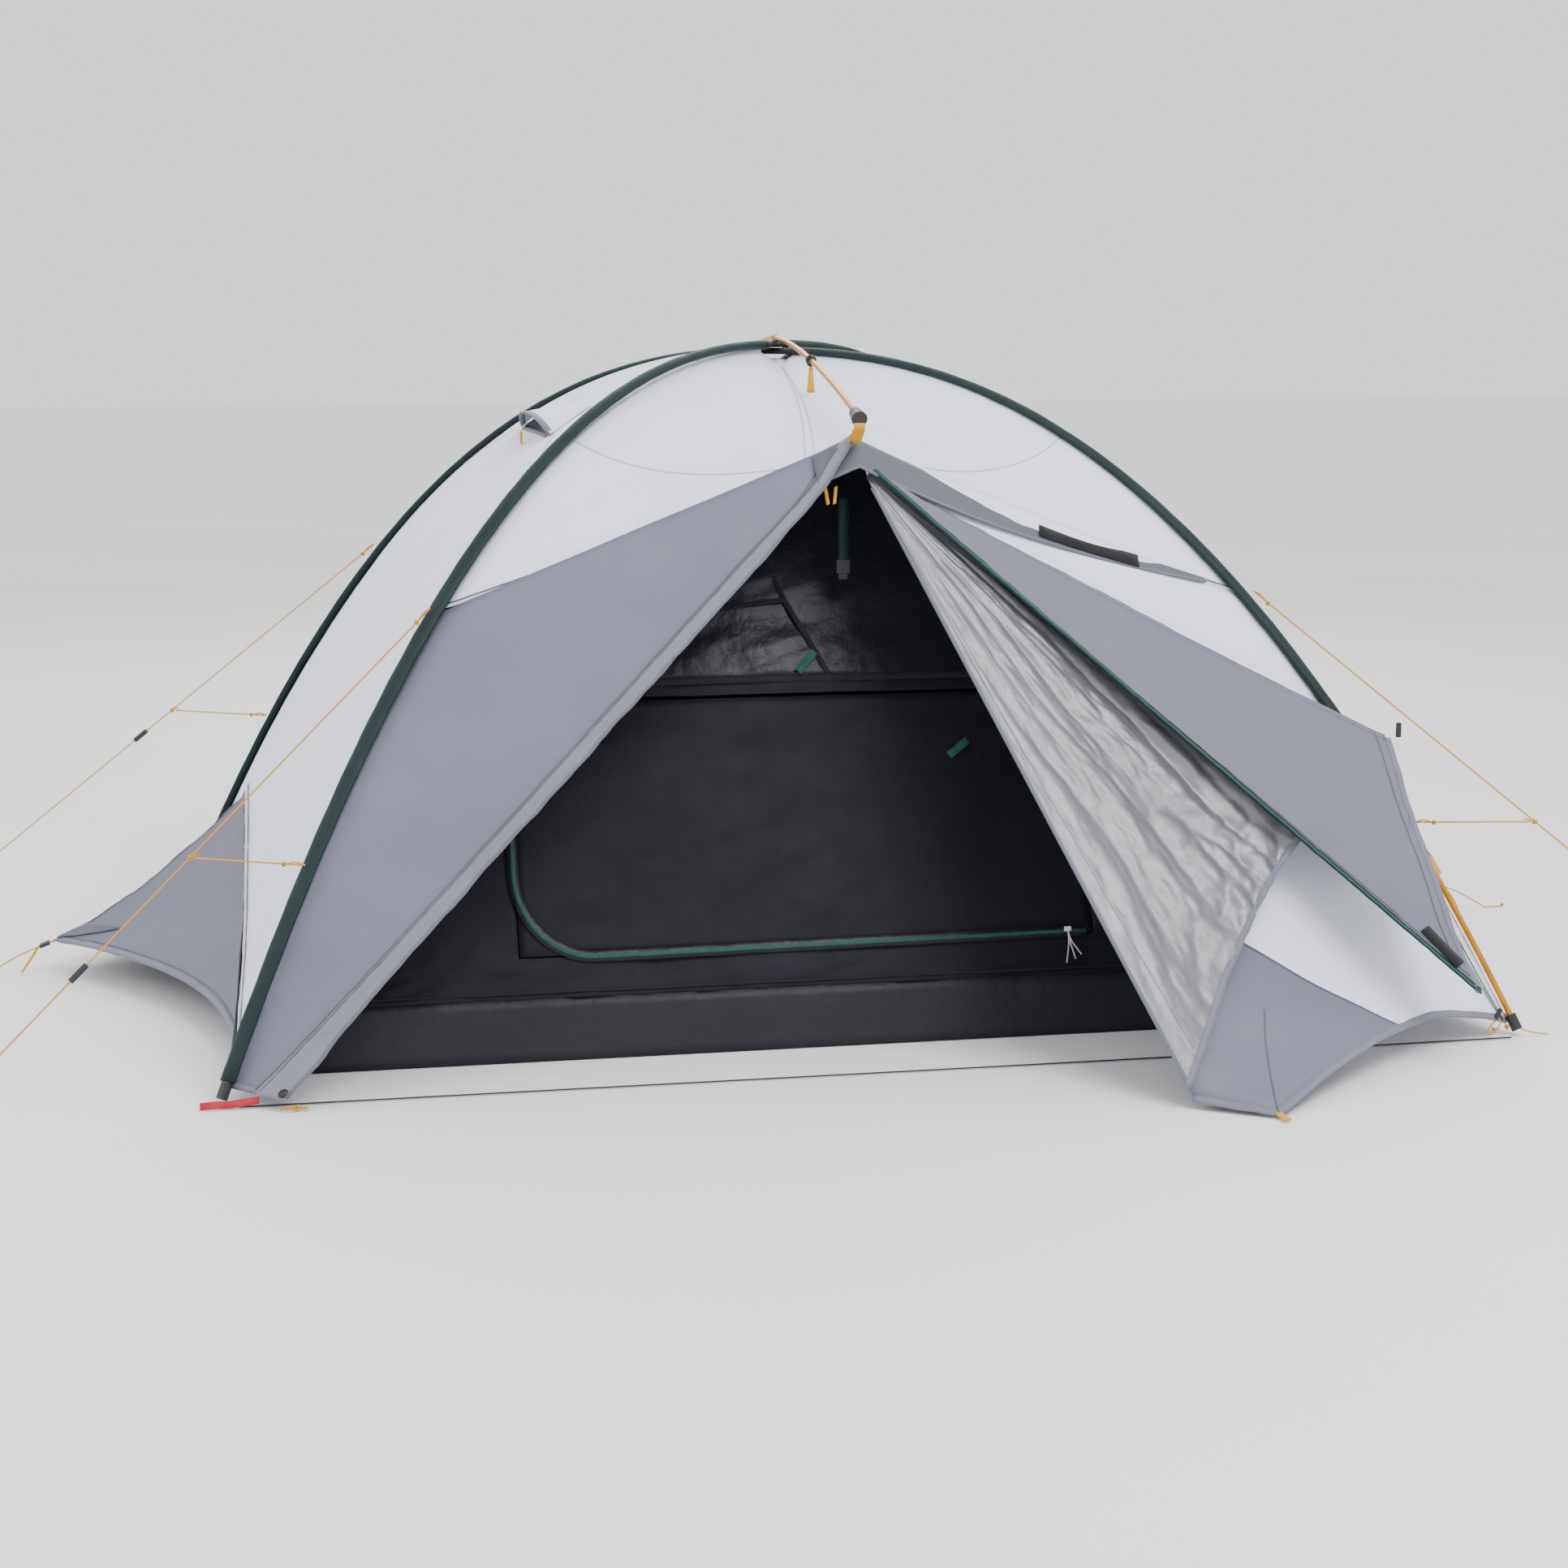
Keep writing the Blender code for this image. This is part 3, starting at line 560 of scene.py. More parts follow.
def make_guyline(name, corner):
    start = on_sleeve(corner, GUY_HEIGHT)
    ground = Vector((*GUY_GROUND[name], CORD_LEVEL))
    pull = (ground - start).normalized()
    line = [lerp(start, ground, t) for t in unit(14)][:-1] + smooth([ground] + guy_loop(start, ground), 0.012)
    loop_knot = knot("loop_knot_" + name, ground - pull * 0.012 + up(0.004), pull, 0.0034)
    free_cord("guyline_" + name, line, "cord", "guy_" + name)
    joint = lerp(start, ground, KNOT_AT)
    foot = on_sleeve(corner, BRANCH_HEIGHT)
    away = (joint - foot).normalized()
    branch = [lerp(foot, joint - away * 0.007, t) for t in unit(3)]
    branch_knot = knot("branch_knot_" + name, joint, pull, 0.0042)
    free_cord("branch_cord_" + name, branch, "cord", "branch_" + name)
    for label, spot, line in (("top", start, pull), ("low", foot, away)):
        knot(f"{label}_knot_{name}", spot + line * 0.030, line, 0.0036)
        tie = [spot + line * 0.026, spot + line * 0.012 + up(0.004), spot - line * 0.004]
        rounded_tube(f"{label}_tie_{name}", smooth(tie, 0.004), CORD_RADIUS * 0.9, "cord")
    tail = [joint, joint + pull.cross(away) * 0.004 - pull * 0.012 - up(0.004),
            joint - pull * 0.022 - up(0.010)]
    rounded_tube("knot_tail_" + name, smooth(tail, 0.004), CORD_RADIUS * 0.85, "cord")


def make_cords():
    for name, corner in CORNERS.items():
        make_guyline(name, corner)
    for name, side in ENDS:
        peg, out = side(SIDE_PEG), side((-1, 0, 0))
        ground = Vector((peg.x, peg.y, CORD_LEVEL))
        line = smooth([peg + out * 0.012 - up(0.004), peg + out * 0.070 - up(0.028), ground + out * 0.126],
                      0.012) + [ground + out * 0.165]
        side_knot = knot("side_knot_" + name, line[-1] + up(0.0035), out, 0.0030)
        free_cord("side_cord_" + name, line, "cord", "side_guy_" + name)
    along_ground = ((-1.070, -1.028), (-0.5, -1.030), (0.4, -1.034), (1.075, -1.028))
    line = smooth([(x, y, CORD_LEVEL) for x, y in along_ground], 0.06)
    free_cord("front_ground_cord", line, "cord_dark", "ground_cord")


make_cords()


# Poles and sleeves

def make_poles():
    """The two main poles are plain tubes; the ridge pole is wider at its two ferrules."""
    for name, (sx, sy), lift in (("a", (-1, -1), CROSSING_LIFT), ("b", (1, -1), -CROSSING_LIFT)):
        down = [pole_point(sx, sy, r, lift) for r in steps(POLE_END, 0.0, 60)]
        rise = [pole_point(-sx, -sy, r, lift) for r in steps(0.0, POLE_END, 60)]
        rounded_tube(f"main_pole_{name}_tube", down + rise[1:], POLE_RADIUS, "gold",
                     nodes=[f"main_pole_{name}"], sides=POLE_SIDES)
    ferrules = (30, 31, 32, 64, 65, 66)
    radii = [POLE_RADIUS + (FERRULE_LIFT if i in ferrules else 0.0) for i in range(RIDGE_STEPS + 1)]
    points = [ridge_point(y) for y in steps(-RIDGE_HALF, RIDGE_HALF, RIDGE_STEPS)]
    rounded_tube("ridge_pole_tube", points, radii, "gold", nodes=["ridge_pole"], sides=POLE_SIDES)


def sleeve_loop(foot, reach, lift, seed, grow=0.0):
    """Cross section of a sleeve: a flat tube of cloth, loose enough to pucker along its seam."""
    normal, across = pole_frame(*foot, reach)
    middle = pole_point(*foot, reach, lift)
    loop = []
    for a in round_angles(SLEEVE_SIDES):
        pucker = 1 + 0.10 * ripple(middle + across * math.cos(a) * 0.05, 0.045, seed) + grow
        pinch = 1.0 - 0.25 * abs(math.cos(a)) ** 3
        loop.append(middle + across * SLEEVE_HALF_WIDTH * math.cos(a) * (1 + 0.04 * math.sin(reach * 160))
                    + normal * (SLEEVE_HALF_THICKNESS * math.sin(a) * pucker * pinch))
    return loop


def make_sleeve(name, foot, low, lift, seed):
    start, finish = arch(low), 0.022
    loops = [sleeve_loop(foot, r, lift, seed) for r in steps(start, finish, SLEEVE_LOOPS)]
    made = shell(name + "_cloth", loops, "green", CLOTH, offset=-1.0, closed=True, nodes=[name])
    length = run_length([pole_point(*foot, r) for r in steps(start, finish, 40)])


def make_sleeve_end(name, foot, lift):
    """The yellow band where a sleeve ends, and the green tail of its seam down to the corner."""
    reach = arch(SLEEVE_END_BARE)
    loops = [sleeve_loop(foot, reach + on, lift, 4.0, grow=0.14) for on in (-0.002, 0.006, 0.012)]
    shell("sleeve_band_" + name, loops, "yellow", 0.0010, offset=1.0, closed=True)
    rows = []
    for t in unit(18):
        r = mix(reach, 0.988, t)
        normal, across = pole_frame(*foot, r)
        out = across if across.y * foot[1] > 0 else -across
        p = pole_point(*foot, r, lift) - normal * 0.010 + out * (0.014 + 0.014 * hump(t))
        half = (out + normal * 0.25) * (1.0 - 0.78 * t) * 0.011
        rows.append([p - half, p + half])
    shell("sleeve_tail_" + name, rows, "green_zip", 0.001)


def make_sleeves():
    make_sleeve("sleeve_front_left", (-1, -1), SLEEVE_END_LOW, CROSSING_LIFT, 1.0)
    make_sleeve("sleeve_rear_right", (1, 1), SLEEVE_END_BARE, CROSSING_LIFT, 2.0)
    make_sleeve("sleeve_rear_left", (-1, 1), SLEEVE_END_LOW, -CROSSING_LIFT, 3.0)
    make_sleeve("sleeve_front_right", (1, -1), SLEEVE_END_BARE, -CROSSING_LIFT, 4.0)
    make_sleeve_end("front_right", (1, -1), -CROSSING_LIFT)
    make_sleeve_end("rear_right", (1, 1), CROSSING_LIFT)


def make_crown():
    """Black patch that wraps the crossing, and the yellow tie of the ridge pole over it."""
    for label, foot, lift, reach in (("a", (-1, -1), CROSSING_LIFT, 0.030),
                                     ("b", (1, -1), -CROSSING_LIFT, 0.058)):
        loops = []
        for r in steps(-reach, reach, 14):
            sign = 1 if r >= 0 else -1
            corner = (foot[0] * sign, foot[1] * sign)
            normal, across = pole_frame(*corner, abs(r))
            middle = pole_point(*corner, abs(r), lift)
            loops.append([middle + across * sign * 0.0175 * math.cos(a) + normal * 0.0062 * math.sin(a)
                          for a in round_angles(12)])
        shell("crown_patch_" + label, loops, "crown", 0.0006, offset=-1.0, closed=True)
    rings = [[(r * math.cos(a), r * math.sin(a), 1.1385 - 4.6 * r * r) for a in round_angles(24)]
             for r in (0.004, 0.020, 0.036, 0.052, 0.066)]
    work, rows = skin(rings, closed=True)
    work.faces.new(rows[0])
    cap = finish_mesh("crown_lining", work, "fly_white")
    thicken(cap, 0.001)
    settle(cap, "fly_white")
    points = [ridge_point(0.0) + Vector((0, 0.003 * math.sin(3 * a), 0))
              + Vector((math.cos(a), 0, math.sin(a))) * 0.0068 for a in steps(0.0, 2 * math.pi, 20)]
    ribbon("ridge_tie", points, (0, 1, 0), 0.009, "yellow", thickness=0.001)


make_poles()
make_sleeves()
make_crown()


# The fly

def canopy_front(u, v):
    """White sector over the door side: u -1 and 1 at the poles, 0 at the crest; v 0 crown, 1 hem."""
    height = pole_height(mix(PANEL_TOP, arch(JOIN_HEIGHT), v))
    edge = seam_point(math.copysign(1, u), -1, height, (0, -1, 0))
    crest = lerp(CREST_START, CREST_END, v)
    p = lerp(crest, edge, abs(u))
    sag = 0.016 * hump(abs(u)) * v + 0.012 * hump(abs(u)) * v ** 8
    return p + Vector((0, 0.3, -1)) * sag * 0.6


def canopy_side(u, v):
    """White sector over an end: u -1 the rear pole, 1 the front pole; v 0 crown, 1 lower edge."""
    low = mix(SIDE_APEX_HEIGHT, SIDE_FOOT_HEIGHT, abs(u))
    height = pole_height(mix(PANEL_TOP, arch(low), v))
    edge = seam_point(-1, -1, height, (-1, 0, 0))
    bulge = SIDE_BULGE * (1 - abs(u)) * v ** 4
    bow = 0.010 * hump(abs(u)) * v ** 6
    return Vector((edge.x - bulge + bow, edge.y * u, height + (edge.z - height) * abs(u) ** 6))


def skirt_hem(t):
    foot = Vector((-1.093, math.copysign(0.992, t), 0.016))
    p = lerp(SIDE_PEG, foot, abs(t))
    bow = 4 * abs(t) * (1 - abs(t))
    return p + Vector((0.125 * bow, 0, 0.022 * bow))


def skirt(t, s):
    """Grey skirt: t -1 front foot, 0 peg, 1 rear foot; s 0 apex, 1 hem."""
    edge = seam_point(-1, -1, SIDE_APEX_HEIGHT, (-1, 0, 0))
    apex = Vector((edge.x - SIDE_BULGE - 0.004, 0, SIDE_APEX_HEIGHT - 0.010))
    p = lerp(apex, skirt_hem(t), s)
    p.z -= 0.09 * s * (1 - s) * (1 - abs(t))
    sewn = canopy_side(-math.copysign(min(1.0, s), t), 1.0) - Vector((0.002, 0, 0.002))
    return p + (sewn - lerp(apex, skirt_hem(math.copysign(1, t)), s)) * abs(t) ** 3 * (1 - 0.7 * s ** 8)


def side_height(v):
    """Height along a vestibule panel's edge at the pole, from the canopy's seam to the foot."""
    return mix(JOIN_HEIGHT - 0.004, 0.030, v)


def left_panel(u, v):
    """Grey vestibule panel: u 0 at the pole, 1 at the zip; v 0 top, 1 foot."""
    outer = seam_point(-1, -1, side_height(v), (0, -1, 0))
    inner = lerp(PANEL_PEAK, CLOSE_FOOT, v) + (CREST_END - PANEL_PEAK) * peak_ease(v)
    p = lerp(outer, inner, u)
    return p + Vector((-0.2, 0.7, -0.5)) * 0.018 * hump(u) * hump(v)


def peak_ease(v):
    """1 at the top edge, 0 a little below it, where a panel's own line takes over from the crest's end."""
    return max(0.0, 1 - v / 0.06)


def right_panel(u, v):
    """Fixed panel: u 0 at the door's hinge line, 1 at the pole; v 0 top, 1 hem."""
    hinge = lerp(HINGE_EDGE_TOP, HINGE_EDGE_FOOT, v) + (CREST_END - HINGE_EDGE_TOP) * peak_ease(v)
    outer = seam_point(1, -1, side_height(v), (0, -1, 0))
    p = lerp(hinge, outer, u)
    corner = CORNER_AT
    pull = HEM_PEG - lerp(HINGE_EDGE_FOOT, seam_point(1, -1, 0.030, (0, -1, 0)), corner)
    shape = max(0.0, 1 - abs(u - corner) / (corner if u < corner else 0.55))
    p += pull * shape * v ** 16
    lift = 0.045 * 4 * max(0.0, u - corner) * (1 - u) / (1 - corner) ** 2
    p += Vector((-0.02, 0.06, 1.0)) * lift * v ** 6
    return p


def split(u):
    """How far down the fixed panel its white cloth reaches; the grey corner is sewn on below."""
    return 1 - 0.46 * max(0.0, 1 - u / CORNER_SPAN)


def right_white(u, v):
    return right_panel(u, split(u) * v)


def right_grey(u, v):
    return right_panel(CORNER_SPAN * u, split(CORNER_SPAN * u) + (1 - split(CORNER_SPAN * u)) * v)


def rear_leaf(u, v):
    """Rear door, closed: u 0 at its hinge, 1 at the zip; v 0 peak, 1 hem."""
    s = 0.02 + 0.98 * v
    a = lerp(REAR_PEAK, (0.380, -1.347, 0.020), s)
    b = lerp(REAR_PEAK, (-1.000, -1.047, 0.020), s)
    p = lerp(a, b, u)
    return p + Vector((-0.2, 0.6, -0.4)) * 0.02 * hump(u) * s


def door_frame():
    hinge_line = (DOOR_FOOT - DOOR_TOP).normalized()
    fold_line = (DOOR_HOOK - DOOR_TOP).normalized()
    face = hinge_line.cross(fold_line).normalized()
    return -face if face.y > 0 else face


FACE = door_frame()


def inner_leaf(u, s):
    """Silver leaf: u 0 at the hinge, 1 at the fold; s 0 peak, 1 the gathered hem."""
    s = LEAF_TOP + (1 - LEAF_TOP) * s
    a = lerp(DOOR_TOP, DOOR_FOOT, s * (1 - LEAF_TOP))
    b = lerp(DOOR_TOP, DOOR_HOOK, s)
    b.z -= 0.005 * hump(s)
    p = lerp(a, b, u)
    bow = 0.055 * hump(u) * s ** 10
    return p + (DOOR_TOP - p).normalized() * bow


def outer_leaf(u, s):
    """Leaf folded over the silver one: u 0 at the fold, 1 at the zip edge; s 0 peak, 1 the hem."""
    s = LEAF_TOP + (1 - LEAF_TOP) * s
    a = lerp(DOOR_TOP, DOOR_HOOK, s)
    a.z -= 0.005 * hump(s)
    b = lerp(DOOR_TOP, DOOR_TIP, s)
    p = lerp(a, b, u) + FACE * (0.001 + 0.015 * min(1.0, u * 3))
    return p + (DOOR_TOP - p).normalized() * 0.018 * hump(u) * s ** 10


def placed(surface, side):
    """The surface's copy on one side of the tent, as DOORS and ENDS name them."""
    return lambda u, v: side(surface(u, v))


def near(x, spots, reach):
    """1 at any of the spots, fading to 0 at reach from it."""
    return max(0.0, 1 - min(abs(x - s) for s in spots) / reach)


def taut(u, v, p):
    """Tight cloth: hardly any wrinkle but fine puckers along the seams."""
    edge = near(abs(u), (1.0,), 0.10) + near(v, (1.0,), 0.06) + near(u, (0.0,), 0.05)
    return 0.0022 * ripple(p, 0.30, 3.0) + 0.0014 * edge * ripple(p, 0.022, 8.0)


def creased(u, v, p):
    """Slacker cloth: long soft folds toward the pegs, and puckers along the seams."""
    long_fold = ripple((p.x * 0.6 + p.y * 0.3, p.y * 0.5, p.z * 1.6), 0.10, 5.0)
    edge = near(abs(u), (0.0, 1.0), 0.14) + near(v, (1.0,), 0.05)
    return 0.0050 * long_fold * (0.3 + 0.7 * v) + 0.0018 * edge * ripple(p, 0.020, 2.0)


def creased_low(u, v, p):
    return creased(CORNER_SPAN * u, split(CORNER_SPAN * u) + (1 - split(CORNER_SPAN * u)) * v, p)


def door_folds(u, s, p):
    """Folds that fan out from the peak where the silver leaf hangs gathered."""
    drift = u + 0.05 * ripple((u * 2, s * 3, 0), 0.7, 4.0)
    long_fold = (ridge((drift * 5.5, s * 0.7, 0.0), 1.0, 4.0)
                 + 0.5 * ridge((drift * 12, s * 1.3, 2.0), 1.0, 7.0))
    cross = ridge((drift * 9 + s * 3, s * 8 - u * 2, 1.0), 1.0, 9.0)
    small = ridge((u * 26, s * 24, 3.0), 1.0, 2.0)
    depth = math.sin(math.pi * min(1.0, max(0.0, u))) ** 0.6
    return (0.0085 * long_fold * abs(s) ** 0.8 + 0.0032 * cross * s + 0.0016 * small * s) * depth


def outer_folds(u, s, p):
    return (0.0030 * math.sin(14 * u + 3 * ripple((s * 3, u, 0), 0.9, 1.0)) * s
            + 0.0014 * ripple(p, 0.025, 6.0))


def make_fly():
    full, whole = signed(84), unit(64)
    cloth("canopy_front_cloth", canopy_front, full, whole, "fly_white", nodes=["canopy_front"], wrinkle=taut)
    cloth("canopy_rear_cloth", placed(canopy_front, turned), full, whole, "fly_white", nodes=["canopy_rear"],
          wrinkle=taut)
    for label, side in ENDS:
        cloth(f"canopy_{label}_cloth", placed(canopy_side, side), full, whole, "fly_white",
              nodes=["canopy_" + label], wrinkle=taut)
    for label, side in ENDS:
        cloth("skirt_cloth_" + label, placed(skirt, side), full, unit(24), "fly_grey",
              nodes=["skirt_" + label], wrinkle=creased)
    for (label, side), node in zip(DOORS, ("vestibule_front_left", "vestibule_rear_right")):
        cloth("grey_panel_" + label, placed(left_panel, side), unit(44), whole, "fly_grey", nodes=[node],
              wrinkle=creased)
    for (label, side), node in zip(DOORS, ("vestibule_front_right", "vestibule_rear_left")):
        cloth("white_panel_" + label, placed(right_white, side), unit(50), whole, "fly_white", nodes=[node],
              wrinkle=creased)
        cloth("hem_panel_" + label, placed(right_grey, side), unit(36), unit(22), "fly_grey",
              wrinkle=creased_low)
    cloth("rear_leaf", placed(rear_leaf, turned), unit(40), unit(50), "fly_grey", "rear_door_leaf",
          ["rear_door"], creased)
    silver = cloth("silver_leaf", inner_leaf, unit(150), unit(110), "silver", "door_inner",
                   ["door_inner_leaf"], door_folds)
    line_back(silver, "fly_grey", FACE)
    outside = cloth("outer_leaf", outer_leaf, unit(48), whole, "fly_grey", "door_outer",
                    ["door_outer_leaf"], outer_folds)
    line_back(outside, "silver", FACE)


make_fly()


# Trim sewn on the fly

SKIRT_FORM = pushed(skirt, creased)


def flap(u, v):
    """Storm flap over the zip: u 0 its seam, 1 its free edge."""
    edge, inside = left_panel(1.0, v), left_panel(0.9, v)
    along = (edge - inside).normalized()
    reach = (-0.030 + 0.064 * u) * (0.55 + 0.45 * min(1.0, v * 6))
    return edge + along * reach + Vector((-0.35, -0.75, 0.3)) * (0.010 + 0.018 * u)


def flap_wrinkle(u, v, p):
    return 0.0045 * u * ripple((0, v * 34, u), 1.3, 7.0) + 0.0012 * ripple(p, 0.018, 3.0)


def eave(u, v):
    """Visor under the white panel's hem: u 0 left of the peak, 1 toward the pole; v 0 seam, 1 free edge."""
    t = -0.10 + 1.02 * u
    top = canopy_front(t, 0.995) + Vector((0, -0.008, 0.004))
    drop = 0.050 * hump(min(1.0, 0.28 + 0.72 * u)) ** 0.8 * (1.15 - 0.5 * u) + 0.006
    return top + Vector((0.02, -0.95, -0.85)) * drop * v


def skirt_gusset(u, v):
    """Doubled cloth at the side peg: u across, v from inside to the peg."""
    return SKIRT_FORM((u - 0.5) * 0.22 * (1 - v), 0.84 + 0.155 * v) + Vector((-0.001, 0, 0.003))


def line_on(label, surface, path, width, look, side=Vector, body="root", lift=0.0012, both=False):
    """A seam, binding or zip tape along a surface; one on both its sides is thicker and lies in it."""
    points, sides, normals = on_surface(surface, path, lift)
    if both:
        points = [p - n * lift for p, n in zip(points, normals)]
    return ribbon(label, [side(p) for p in points], [side(s) for s in sides], width, look, body,
                  thickness=0.0026 if both else 0.0007)


def run_v(u, start, end, count):
    """A path at a fixed u, with v from start to end."""
    return [(u, t) for t in steps(start, end, count)]


def run_u(v, start, end, count):
    """A path at a fixed v, with u from start to end."""
    return [(t, v) for t in steps(start, end, count)]


def make_front_seams(name, side):
    """Bindings, seams and stitches of one long side; a star in a label stands for the side's name."""
    front, over = pushed(canopy_front, taut), pushed(flap, flap_wrinkle)
    left, right = pushed(left_panel, creased), pushed(right_panel, creased)

    def line(label, *rest, **how):
        line_on(label.replace("*", name), *rest, side, **how)
    for sign in (-1, 1):
        arc = [(sign * u, 1 - 0.38 * max(0.0, (u - 0.15) / 0.85) ** 0.8) for u in steps(0.15, 1.0, 50)]
        line(f"arc_seam_*_{sign + 1}", front, arc, 0.0022, "seam_white")
    # Two faint grey lines running down beside the crest.
    for k, shift in enumerate((0.0, 0.012)):
        crest = [(-0.02 - 0.07 * v - shift * 2, v) for v in steps(0.02, 0.99, 50)]
        line(f"crest_seam_*_{k}", front, crest, 0.0014, "seam_white")
    line("canopy_hem_*", front, run_u(0.992, -1.0, 1.0, 90), 0.0030, "seam_grey")
    for k, u in enumerate((0.955, 0.975)):
        line(f"zip_stitch_*_{k}", left, run_v(u, 0.03, 0.98, 70), 0.0014, "stitch")
    line("flap_edge_*", over, run_v(1.0, 0.01, 0.995, 90), 0.0070, "seam_grey", both=True)
    line("flap_seam_*", over, run_v(0.03, 0.01, 0.995, 90), 0.0016, "stitch")
    line("flap_seam_in_*", over, run_v(0.16, 0.01, 0.995, 90), 0.0012, "stitch")
    line("hem_binding_*", right, run_u(1.0, 0.0, 1.0, 70), 0.0130, "binding", both=True)
    line("corner_seam_*", right, [(u, split(u)) for u in steps(0.0, CORNER_SPAN, 40)], 0.0024, "seam_grey")
    rib = [(0.30 - 0.10 * t, 0.90 + 0.10 * t) for t in unit(14)]
    line("corner_rib_*", right, rib, 0.0018, "stitch")
    if name == "rear":
        line("*_hinge_tape", right, run_v(0.002, 0.015, 0.995, 80), 0.040, "fly_grey", lift=0.003)
    line("left_hem_*", left, run_u(0.995, 0.0, 1.0, 24), 0.0100, "binding", both=True)


def make_end_seams(name, side):
    """Bindings and seams of one end: its skirt and the white cloth above."""
    hem, end = pushed(skirt, creased), pushed(canopy_side, taut)

    def line(label, *rest, **how):
        line_on(label + name, *rest, side, **how)
    line("skirt_binding_", hem, run_u(0.996, -1.0, 1.0, 110), 0.0120, "binding", both=True)
    line("skirt_stitch_", hem, run_u(0.965, -0.97, 0.97, 110), 0.0013, "stitch")
    line("skirt_crest_", hem, run_v(0.0, 0.03, 0.99, 40), 0.0034, "seam_grey")
    line("skirt_crest_rear_", hem, run_v(0.03, 0.05, 0.90, 40), 0.0012, "stitch")
    line("side_edge_", end, run_u(0.994, -1.0, 1.0, 90), 0.0030, "seam_grey")
    line("end_seam_", end, [(u, 0.40 + 0.10 * u * u) for u in signed(60)], 0.0020, "seam_white")


def make_flaps():
    for name, side in DOORS:
        cloth("storm_flap_" + name, placed(flap, side), unit(8), unit(150), "fly_grey_light",
              wrinkle=flap_wrinkle)
    # The visor wears the darker grey that paints its shade.
    cloth("eave_cloth", eave, unit(60), unit(8), "eave_grey", nodes=["eave_front"],
          wrinkle=lambda u, v, p: 0.0016 * ripple(p, 0.03, 2.0) * v)
    line_on("eave_binding", eave, run_u(0.99, 0.0, 1.0, 60), 0.0060, "seam_grey", both=True)
    points, sides, _ = on_surface(eave, run_u(0.55, 0.56, 0.82, 14), 0.003)
    ribbon("eave_patch", points, sides, 0.030, "velcro", thickness=0.0012)
    for name, side in ENDS:
        cloth("skirt_gusset_" + name, placed(skirt_gusset, side), unit(12), steps(0.0, 0.97, 12),
              "fly_grey_dark")


def make_door_trim():
    outer, inner = pushed(outer_leaf, outer_folds), pushed(inner_leaf, door_folds)

    def line(label, *rest, body="door_outer", **how):
        line_on(label, *rest, body=body, **how)
    line("door_zip_tape", outer, run_v(0.988, 0.0, 1.0, 110), 0.0100, "green", both=True)
    line("door_zip_teeth", outer, run_v(0.996, 0.0, 1.0, 110), 0.0045, "green_zip", lift=0.0022)
    line("door_zip_stitch", outer, run_v(0.955, 0.02, 0.99, 90), 0.0013, "stitch")
    line("outer_hem", outer, run_u(0.996, 0.0, 1.0, 40), 0.0110, "binding", both=True)
    line("outer_hem_stitch", outer, run_u(0.970, 0.0, 0.96, 40), 0.0013, "stitch")
    line("fold_edge", outer, run_v(0.004, 0.02, 0.99, 80), 0.0120, "fly_grey", both=True)
    points, sides, _ = on_surface(outer, [(0.90, 0.925), (0.93, 0.955), (0.945, 0.975)], 0.0030)
    ribbon("door_velcro", points, sides, 0.024, "velcro", "door_outer", thickness=0.0016)
    line("silver_hem", inner, run_u(0.997, 0.0, 1.0, 70), 0.0120, "binding", body="door_inner", both=True)
    line("silver_hinge_edge", inner, run_v(0.004, 0.02, 1.0, 90), 0.0060, "seam_grey", body="door_inner",
         both=True)
    line("silver_seam", inner, run_v(0.06, 0.03, 0.98, 90), 0.0016, "seam_silver", body="door_inner")


make_flaps()
for door in DOORS:
    make_front_seams(*door)
for end in ENDS:
    make_end_seams(*end)
make_door_trim()


# Vents at the top of the end panels

def on_side(y, height):
    return Vector((seam_point(-1, -1, height, (-1, 0, 0)).x, y, height))


VENT_OUT = Vector((-0.45, 0, 0.9)).normalized()


def hood(u, v):
    lift = 0.036 * max(0.0, v) ** 1.3 * (1 - abs(u) ** 3) + 0.003
    return on_side(0.205 * u * (1 + 0.04 * v), 1.056 - 0.052 * v) + VENT_OUT * lift


def vent_net(u, v):
    return on_side(0.185 * u, 1.050 - 0.052 * v) + VENT_OUT * 0.0022


def make_vents():
    for name, side in ENDS:
        cloth("vent_hood_cloth_" + name, placed(hood, side), signed(40), unit(14), "fly_white",
              nodes=["vent_hood_" + name], wrinkle=lambda u, v, p: 0.0016 * v * ripple(p, 0.03, 4.0))
        cloth("vent_net_" + name, placed(vent_net, side), signed(20), unit(8), "inner_gloss")
        line_on("vent_brim_" + name, hood, run_u(0.995, -1.0, 1.0, 40), 0.0110, "seam_grey", side, both=True)


# The inner tent

def inner_half(height):
    """Half the inner tent's length and width at a height."""
    reach = (1 - height / INNER_HEIGHT) ** (1 / ARCH_POWER)
    return INNER_LENGTH * reach, INNER_WIDTH * reach


def front_wall_y(height):
    """The front wall stands in one plane from the tub to its seam, and follows the arch above."""
    if height >= INNER_SEAM_HEIGHT:
        return -inner_half(height)[1]
    rise = (height - TUB_HEIGHT) / (INNER_SEAM_HEIGHT - TUB_HEIGHT)
    return -mix(inner_half(TUB_HEIGHT)[1], inner_half(INNER_SEAM_HEIGHT)[1], rise)


def wall_point(x, height, lift=0.0):
    return Vector((x, front_wall_y(height) - lift, height))


def third(x):
    """Which of three parts x is in, and how far along it."""
    k = min(2, max(0, int(x)))
    return k, x - k


